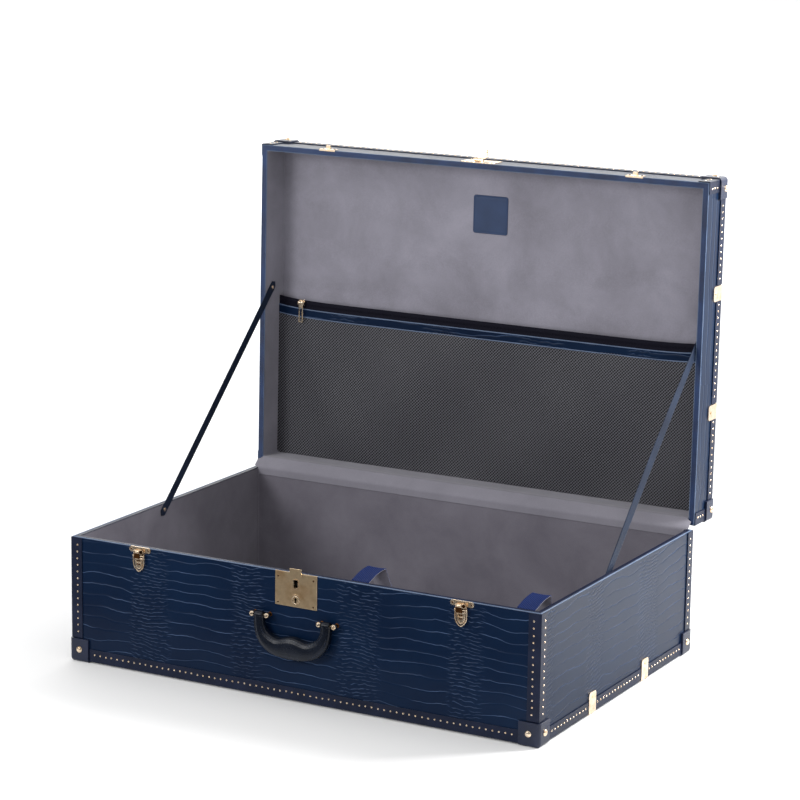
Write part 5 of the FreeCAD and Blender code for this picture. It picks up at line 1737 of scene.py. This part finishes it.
@dataclass
class BlueStraps:
    """Two straps of blue webbing sewn inside the front wall and folded back into the base."""

    places: tuple[tuple[str, float, float], ...] = (
        ("centre", 100.5, 15.0), ("right", 369.0, 2.0)
    )
    width: float = 29.0
    thick: float = 1.6
    rise: float = 10.5
    reach: float = 52.0
    anchor: float = 30.0
    drop: float = 80.0
    bow: float = 0.8
    lean_span: Pair = (0.44, 0.3)
    stitch: Pair = (3.0, 0.4)
    seam_rows: Pair = (-27.0, -19.0)
    stations: int = 64

    def line(self) -> list[Pair]:
        """Draws the strap's middle line from the wall over the rim's height and down.

        Returns:
            Points as y and z.
        """
        wall = -TRUNK.inner_y + 0.3 + self.thick / 2
        rim = TRUNK.rim
        made = [(wall, rim - self.anchor), (wall, rim - 16), (wall + 0.2, rim - 8)]
        for share in shares(8):
            y = wall + 0.8 + (self.reach - 1.6) * share
            arch = (self.rise + 1.5) * math.sin(math.pi * (0.06 + 0.5 * share))
            made.append((y, rim - 3.7 + arch))
        far = wall + self.reach
        made += [(far, rim - 1), (far + 0.1, rim - 10), (far - 0.6, rim - 30)]
        return made + [(far - 1.0, rim - 55), (far - 0.4, rim - self.drop)]

    def station(self, line: Ring, number: int, place: Pair, layer: Pair) -> list[Vector]:
        """Draws the strap's section at one point of its line.

        Args:
            line: the strap's middle line.
            number: which of its points.
            place: the strap's place along the wall, and how far its fall leans.
            layer: the layer's thickness, and how far it lies outside the middle line.

        Returns:
            The ring of points.
        """
        (centre, lean), (thick, shift) = place, layer
        last = len(line) - 1
        ahead = (line[min(last, number + 1)] - line[max(0, number - 1)]).normalized()
        normal = Vector((0, -ahead.z, ahead.y))
        share = number / last
        bow = math.sin(math.pi * min(1, share * 1.2)) * self.bow
        fallen = min(1.0, max(0.0, (share - self.lean_span[0]) / self.lean_span[1]))
        leaned = lean * fallen * fallen * (3 - 2 * fallen)
        ring = []
        for across, out in strap_section(self.width, thick):
            lift = shift - bow * (1 - (2 * across / self.width) ** 2)
            beside = Vector((centre + leaned + across, 0, 0))
            ring.append(line[number] + beside + normal * (out + lift))
        return ring

    def dress(self) -> None:
        """Weaves both straps and sews their ends."""
        line = curve_through(self.line(), self.stations)
        for name, centre, lean in self.places:
            for part, finish, layer, replaces in (
                ("woven", BELT, (self.thick * 0.7, 0.25), [f"webbing_strap_{name}"]),
                ("backing", LIT_SUEDE, (0.5, -0.55), []),
            ):
                mould = Mould()
                mould.skin([self.station(line, number, (centre, lean), layer)
                            for number in range(self.stations)])
                made = mould.cast(f"webbing_{name}_{part}", finish, BASE, *replaces)
            seams = Mould()
            half, y = self.width / 2 - 3, line[0].y + self.thick / 2 + 0.2
            for row in self.seam_rows:
                path = [Vector((centre + x, y, TRUNK.rim + row)) for x in (-half, half)]
                seams.stitches(path, *self.stitch)
            seams.cast(f"webbing_{name}_seams", THREAD, BASE)


@dataclass
class LidStays:
    """Leather stays from the base's side walls to the lid, held by screws with washers."""

    width: float = 15.0
    thick: float = 1.5
    over: float = 12.0
    twist: float = 11.0
    gap: float = 0.3
    screw: float = 2.5
    stations: int = 90
    base_place: Pair = (-29.0, 188.4)
    lid_place: Pair = (-28.0, 221.4)

    def strap(self, side: int, start: Vector, end: Vector) -> list[list[Vector]]:
        """Draws one strap, which the right side's twists on its way up.

        Args:
            side: -1 on the left, 1 on the right.
            start: the lower screw, at x = 0.
            end: the upper screw with the lid open, at x = 0.

        Returns:
            The rings of points.
        """
        ahead = (end - start).normalized()
        across = Vector((0, -ahead.z, ahead.y))
        held = (end - start).length
        beside = Vector((side * (TRUNK.inner_x - self.gap - self.thick / 2), 0, 0))
        rings = []
        for station in shares(self.stations):
            up = (held + 2 * self.over) * station - self.over
            tip, half = min(up + self.over, held + self.over - up), self.width / 2
            if tip < half:
                half = math.sqrt(max(0.04, half ** 2 - (half - tip) ** 2))
            share = min(1.0, max(0.0, up / held))
            bowed = math.sin(math.pi * share) ** 0.8 if side > 0 else 0.0
            turned = math.radians(self.twist) * bowed
            centre = start + ahead * up + beside
            centre.x -= bowed * math.sin(turned) * self.width / 2
            flat = across * math.cos(turned) - Vector((math.sin(turned), 0, 0))
            proud = (Vector((-math.cos(turned), 0, 0)) - across * math.sin(turned)) * side
            section = strap_section(half * 2, self.thick)
            rings.append([centre + flat * lateral + proud * out for lateral, out in section])
        return rings

    def dress(self) -> None:
        """Cuts the straps and drives their screws."""
        start = Vector((0, *self.base_place))
        end = TRUNK.swing() @ Vector((0, *self.lid_place))
        for side, name in ((-1, "left"), (1, "right")):
            mould = Mould()
            mould.skin(self.strap(side, start, end))
            made = mould.cast(f"{name}_stay_leather", STAY, None, f"{name}_stay_strap")
            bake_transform(made)
        for (box, body), place in zip(BOXES.items(), (self.base_place, self.lid_place)):
            mould = Mould()
            for facing in (Side.RIGHT, Side.LEFT):
                frame = facing.frame(*place, self.gap + self.thick - TRUNK.inner_x)
                mould.turned([(3.4, -2.0), (3.4, 0.3), (3.1, 0.5), (2.6, 0.5)], frame, 24)
                slotted_head(mould, frame @ Matrix.Translation((0, 0, 0.5)), self.screw)
            mould.cast(f"{box}_stay_heads", BRASS, body, f"{box}_stay_screws")


@dataclass
class HingeCover:
    """Suede painted pale for the light it catches, which covers the gap between base and lid along
    the hinges.
    """

    thick: float = 0.7
    tuck: float = 11.0
    lap: float = 16.0
    ends: float = 7.0
    gap: float = 0.8
    ripple: Pair = (0.4, 61.0)
    columns: int = 60

    def dress(self) -> None:
        """Lays the suede from the base's back wall over both rims into the lid."""
        gap, rim, half = self.gap, TRUNK.rim, TRUNK.inner_x - 0.6
        back = TRUNK.inner_y - gap
        lip = TRUNK.swing() @ Vector((0, TRUNK.inner_y, TRUNK.lid_rim))
        far = TRUNK.swing() @ Vector((0, TRUNK.inner_y, TRUNK.lid_rim + self.lap))
        line = [(back, rim - self.tuck), (back, rim - 3), (back + 0.4, rim + 1.0)]
        line += [(back + 4.4, rim + 6.0), (lip.y - 4.6, lip.z - 3.2)]
        line += [(lip.y + 0.4, lip.z + gap - 0.2), (far.y - 6, far.z + gap)]
        smooth = curve_through(line + [(far.y, far.z + gap)], 26)
        proud = Vector((0, -self.thick / 2, self.thick / 2))
        rings = []
        for column in shares(self.columns):
            middle = []
            for share, point in zip(shares(len(smooth) - 1), smooth):
                between = rim + 2.0 < point.z < lip.z - 2.0
                x = (half + (self.ends if between else 0.0)) * (column * 2 - 1)
                swell = self.ripple[0] * math.sin(x / self.ripple[1]) * math.sin(math.pi * share)
                middle.append(point + Vector((x, -swell * 0.5, swell * 0.3)))
            low = [point - proud for point in middle]
            rings.append([point + proud for point in middle] + low[::-1])
        mould = Mould()
        mould.skin(rings)
        made = mould.cast("hinge_suede_cover", COVER_SUEDE, None, "hinge_cover")
        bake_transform(made)


@dataclass
class LabelPatch:
    """A square leather patch glued in the lid, with a pressed border line, left bare."""

    size: float = 62.0
    thick: float = 2.4
    place: float = -179.0
    corner: float = 4.0
    line: float = 2.4

    def dress(self) -> None:
        """Cuts the patch and presses its border."""
        line, thick = self.line, self.thick
        profile = [(0.0, 0.0), (0.0, thick - 0.5), (0.6, thick), (line - 0.6, thick)]
        profile += [(line, thick - 0.35), (line + 0.6, thick), (line + 4.0, thick)]
        rings = []
        for inward, height in profile:
            side = self.size - 2 * inward
            outline = rounded_box(side, side, max(0.5, self.corner - inward * 0.5), 6)
            rings.append(moved(outline, height))
        mould = Mould()
        mould.skin(rings, under(self.place, TRUNK.lid_ceiling))
        mould.cast("label_leather_patch", LABEL, LID, "label_patch")


@dataclass
class NetPocket:
    """The net pocket in the lid, its embossed band, its zip, slider and pull."""

    top: float = 18.5
    bottom: float = 258.5
    plane: float = 246.7
    band: float = 16.0
    band_thick: float = 1.8
    tape: float = 13.0
    half: float = 388.5
    fold: float = 4.0
    rows: int = 40
    columns: int = 140
    tooth_pitch: float = 2.6
    clear: float = 6.0
    net_thick: float = 0.5
    slants: tuple[Pair, Pair] = ((1.2, 0.45), (2.7, -0.8))
    second: float = 0.45
    phase: float = 1.3
    droop: float = 6.0

    def swell(self, across: float, down: float) -> float:
        """Gives how far the net stands out of its plane.

        Args:
            across: share from -1 to 1 over the width.
            down: share from 0 to 1 over the height.

        Returns:
            The height in millimetres.
        """
        fade = (1 - across ** 8) * math.sin(math.pi * down) ** 0.7
        first, second = [TURN * (one * across + two * down) for one, two in self.slants]
        return self.fold * fade * (math.sin(first) + self.second * math.sin(second + self.phase))

    def net(self) -> None:
        """Knits the net with its slanting billows."""
        mould = Mould()
        high = self.bottom - self.top
        rings = []
        for column in shares(self.columns):
            across = 2 * column - 1
            ring = []
            for down in shares(self.rows):
                z = self.plane + self.swell(across, down)
                ring.append(Vector((self.half * across, self.top + high * down, z)))
            rings.append(ring + moved(ring, self.net_thick)[::-1])
        mould.skin(rings)
        made = mould.cast("pocket_net", NET, LID, "pocket_mesh", smooth=80)

    def sag(self, x: float) -> float:
        """Gives how far the pocket's mouth hangs below its ends, as a negative height."""
        return -self.droop * (1 - abs(x / self.half) ** 10)

    def sagging(self, outline: Ring, frame: Matrix, out: float) -> Mould:
        """Draws a strip that hangs along the pocket's mouth.

        Args:
            outline: its section, as height and thickness.
            frame: the strip's frame.
            out: the section's middle, out of the frame.

        Returns:
            The strip.
        """
        rings = []
        for share in shares(60):
            x = self.half * (2 * share - 1)
            low = self.sag(x)
            rings.append([Vector((x, point.x + low, out + point.y)) for point in outline])
        mould = Mould()
        mould.skin(rings, frame)
        return mould

    def edge_band(self) -> None:
        """Folds the embossed band along the pocket's mouth and rolls its edges in pale leather, a
        painted highlight.
        """
        frame = under(self.top - self.band / 2, self.plane + 1.3)
        outline = rounded_box(self.band, self.band_thick, 0.85, 3)
        mould = self.sagging(outline, frame, self.band_thick / 2)
        mould.cast("pocket_leather_band", COVER_LID, LID, "pocket_band")
        edges = Mould()
        places = [self.half * (2 * share - 1) for share in shares(48)]
        for up in (1.2 - self.band / 2, self.band / 2 - 1.2):
            edges.tube([Vector((x, up + self.sag(x), 1.1)) for x in places], 1.1, frame, 8)
        edges.cast("pocket_band_edges", RIM, LID)

    def zip(self) -> None:
        """Lays the tape with its hem and the row of teeth."""
        frame = under(self.top - self.band - self.tape / 2, self.plane + 1.9)
        mould = self.sagging(rounded_box(self.tape + 2, 1.0, 0.45, 2), frame, 0.5)
        mould.cast("pocket_zip_tape", TAPE, LID, "pocket_zip")
        teeth = Mould()
        tooth = rounded_box(3.6, 1.5, 0.5, 1)
        upright = Matrix.Rotation(TURN / 4, 4, "Z")
        start = self.clear - self.half
        for number in range(int(-2 * start / self.tooth_pitch)):
            x = start + self.tooth_pitch * (number + 0.5)
            shift = self.sag(x) + (0.5 if number % 2 else -0.5)
            spot = frame @ Matrix.Translation((x, shift, 0.9)) @ upright
            teeth.slab(tooth, spot, 0, 1.0, 0.3, 1)
        teeth.cast("pocket_zip_teeth", TAPE, LID)

    def dress(self) -> None:
        """Makes the pocket and dresses the slider and its pull."""
        self.net()
        self.edge_band()
        self.zip()
        dress_nodes(BRASS, 0.4, "zip_slider")
        dress_nodes(BRASS, 0.3, "zip_pull")


@dataclass
class Studio:
    """White paper, soft light and the camera; places of lamps and sheets are in metres."""

    camera_place: Point = (2070.55, -3763.29, 1348.2)
    right: Point = (0.87673284, 0.48076397, 0.01433607)
    down: Point = (0.11509678, -0.18076669, -0.97676821)
    ahead: Point = (-0.46700348, 0.8580148, -0.21381848)
    focal_pixels: float = 2877.49
    frame_pixels: float = 800.0
    sensor: float = 36.0
    floor_half: float = 60.0
    zenith: float = 0.95
    horizon: float = 0.85
    key_power: float = 52.0
    side_power: float = 36.0
    bank_power: float = 700.0
    flag_height: float = 0.42
    flag_place: float = -0.47
    flag_ends: Pair = (-1.6, 0.9)

    def camera(self) -> None:
        """Stands the camera where the photograph was taken from."""
        lens = bpy.data.cameras.new("camera")
        lens.sensor_width = self.sensor
        lens.sensor_fit = "HORIZONTAL"
        lens.lens = self.focal_pixels / self.frame_pixels * self.sensor
        lens.clip_end = 200.0
        made = put("camera", lens)
        up, back = -Vector(self.down), -Vector(self.ahead)
        made.matrix_world = matrix_of(self.right, up, back, Vector(self.camera_place) * MM)
        bpy.context.scene.camera = made

    def sheet(self, name: str, finish: Finish, corners: Sequence[Point]) -> bpy.types.Object:
        """Stretches a flat sheet that belongs to the studio.

        Args:
            name: its name.
            finish: what it is made of.
            corners: its corners in order.

        Returns:
            The sheet.
        """
        mesh = bpy.data.meshes.new(name)
        mesh.from_pydata(corners, [], [(0, 1, 2, 3)])
        mesh.materials.append(finish.material())
        made = put(name, mesh)
        return made

    def sheets(self) -> None:
        """Rolls out the paper and stands a grey card before the front, seen in reflections."""
        half = self.floor_half
        floor = [(-half, -half, 0), (half, -half, 0), (half, half, 0), (-half, half, 0)]
        self.sheet("paper", PAPER, floor)
        (left, right), y, low, high = self.flag_ends, self.flag_place, 0.002, self.flag_height
        card = [(left, y, low), (right, y, low), (right, y, high), (left, y, high)]
        flag = self.sheet("flag", FLAG, card)
        flag.visible_camera = flag.visible_diffuse = flag.visible_shadow = False

    def lamp(self, name: str, place: Point, target: Point, size: Pair, power: float) -> None:
        """Hangs one soft box.

        Args:
            name: its name.
            place: where it hangs.
            target: the point that it faces.
            size: its width and height.
            power: its power in watts.
        """
        box = bpy.data.lights.new(name, "AREA")
        box.shape = "RECTANGLE"
        box.size, box.size_y = size
        box.energy = power
        made = put(name, box)
        made.location = place
        made.rotation_euler = (Vector(target) - Vector(place)).to_track_quat("-Z", "Y").to_euler()

    def light(self) -> None:
        """Hangs the soft lights in a sky that is a little darker at its foot."""
        world = bpy.data.worlds.new("studio")
        world.use_nodes = True
        bpy.context.scene.world = world
        world.node_tree.nodes.clear()
        node = partial(add_node, world.node_tree)
        height = node("SeparateXYZ", {0: node("TexCoord")}).outputs["Z"]
        strength = node("MapRange", {0: height, 3: self.horizon, 4: self.zenith})
        sky = node("Background", {"Color": (1.0, 1.0, 1.0, 1.0), "Strength": strength})
        node("OutputWorld", {"Surface": sky})
        self.lamp("key", (-1.55, -2.95, 1.55), (0.0, 0.1, 0.35), (1.0, 1.0), self.key_power)
        self.lamp("side_box", (1.2, 0.7, 1.05), (0.4, 0.3, 0.5), (0.5, 0.5), self.side_power)
        self.lamp("back_bank", (-2.6, 7.0, 3.2), (-2.6, 6.6, 0.0), (12.0, 6.0), self.bank_power)
        view = bpy.context.scene.view_settings
        view.view_transform, view.look, view.exposure = "Standard", "None", 0.0

    def dress(self) -> None:
        """Sets up camera, paper and light."""
        self.camera()
        self.sheets()
        self.light()


def main() -> None:
    """Builds the studio and every sub-assembly in order."""
    logging.basicConfig(level=logging.INFO, format="%(message)s")
    for assembly in (
        Studio(), Carcass(), EdgeTrims(), CornerCaps(), SideClips(), Hinges(), Lock(), Latches(),
        CarryHandle(), Lining(), RimBindings(), BlueStraps(), LidStays(), HingeCover(),
        LabelPatch(), NetPocket(),
    ):
        log.info("building %s", type(assembly).__name__)
        assembly.dress()


if __name__ == "__main__":
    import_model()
    main()
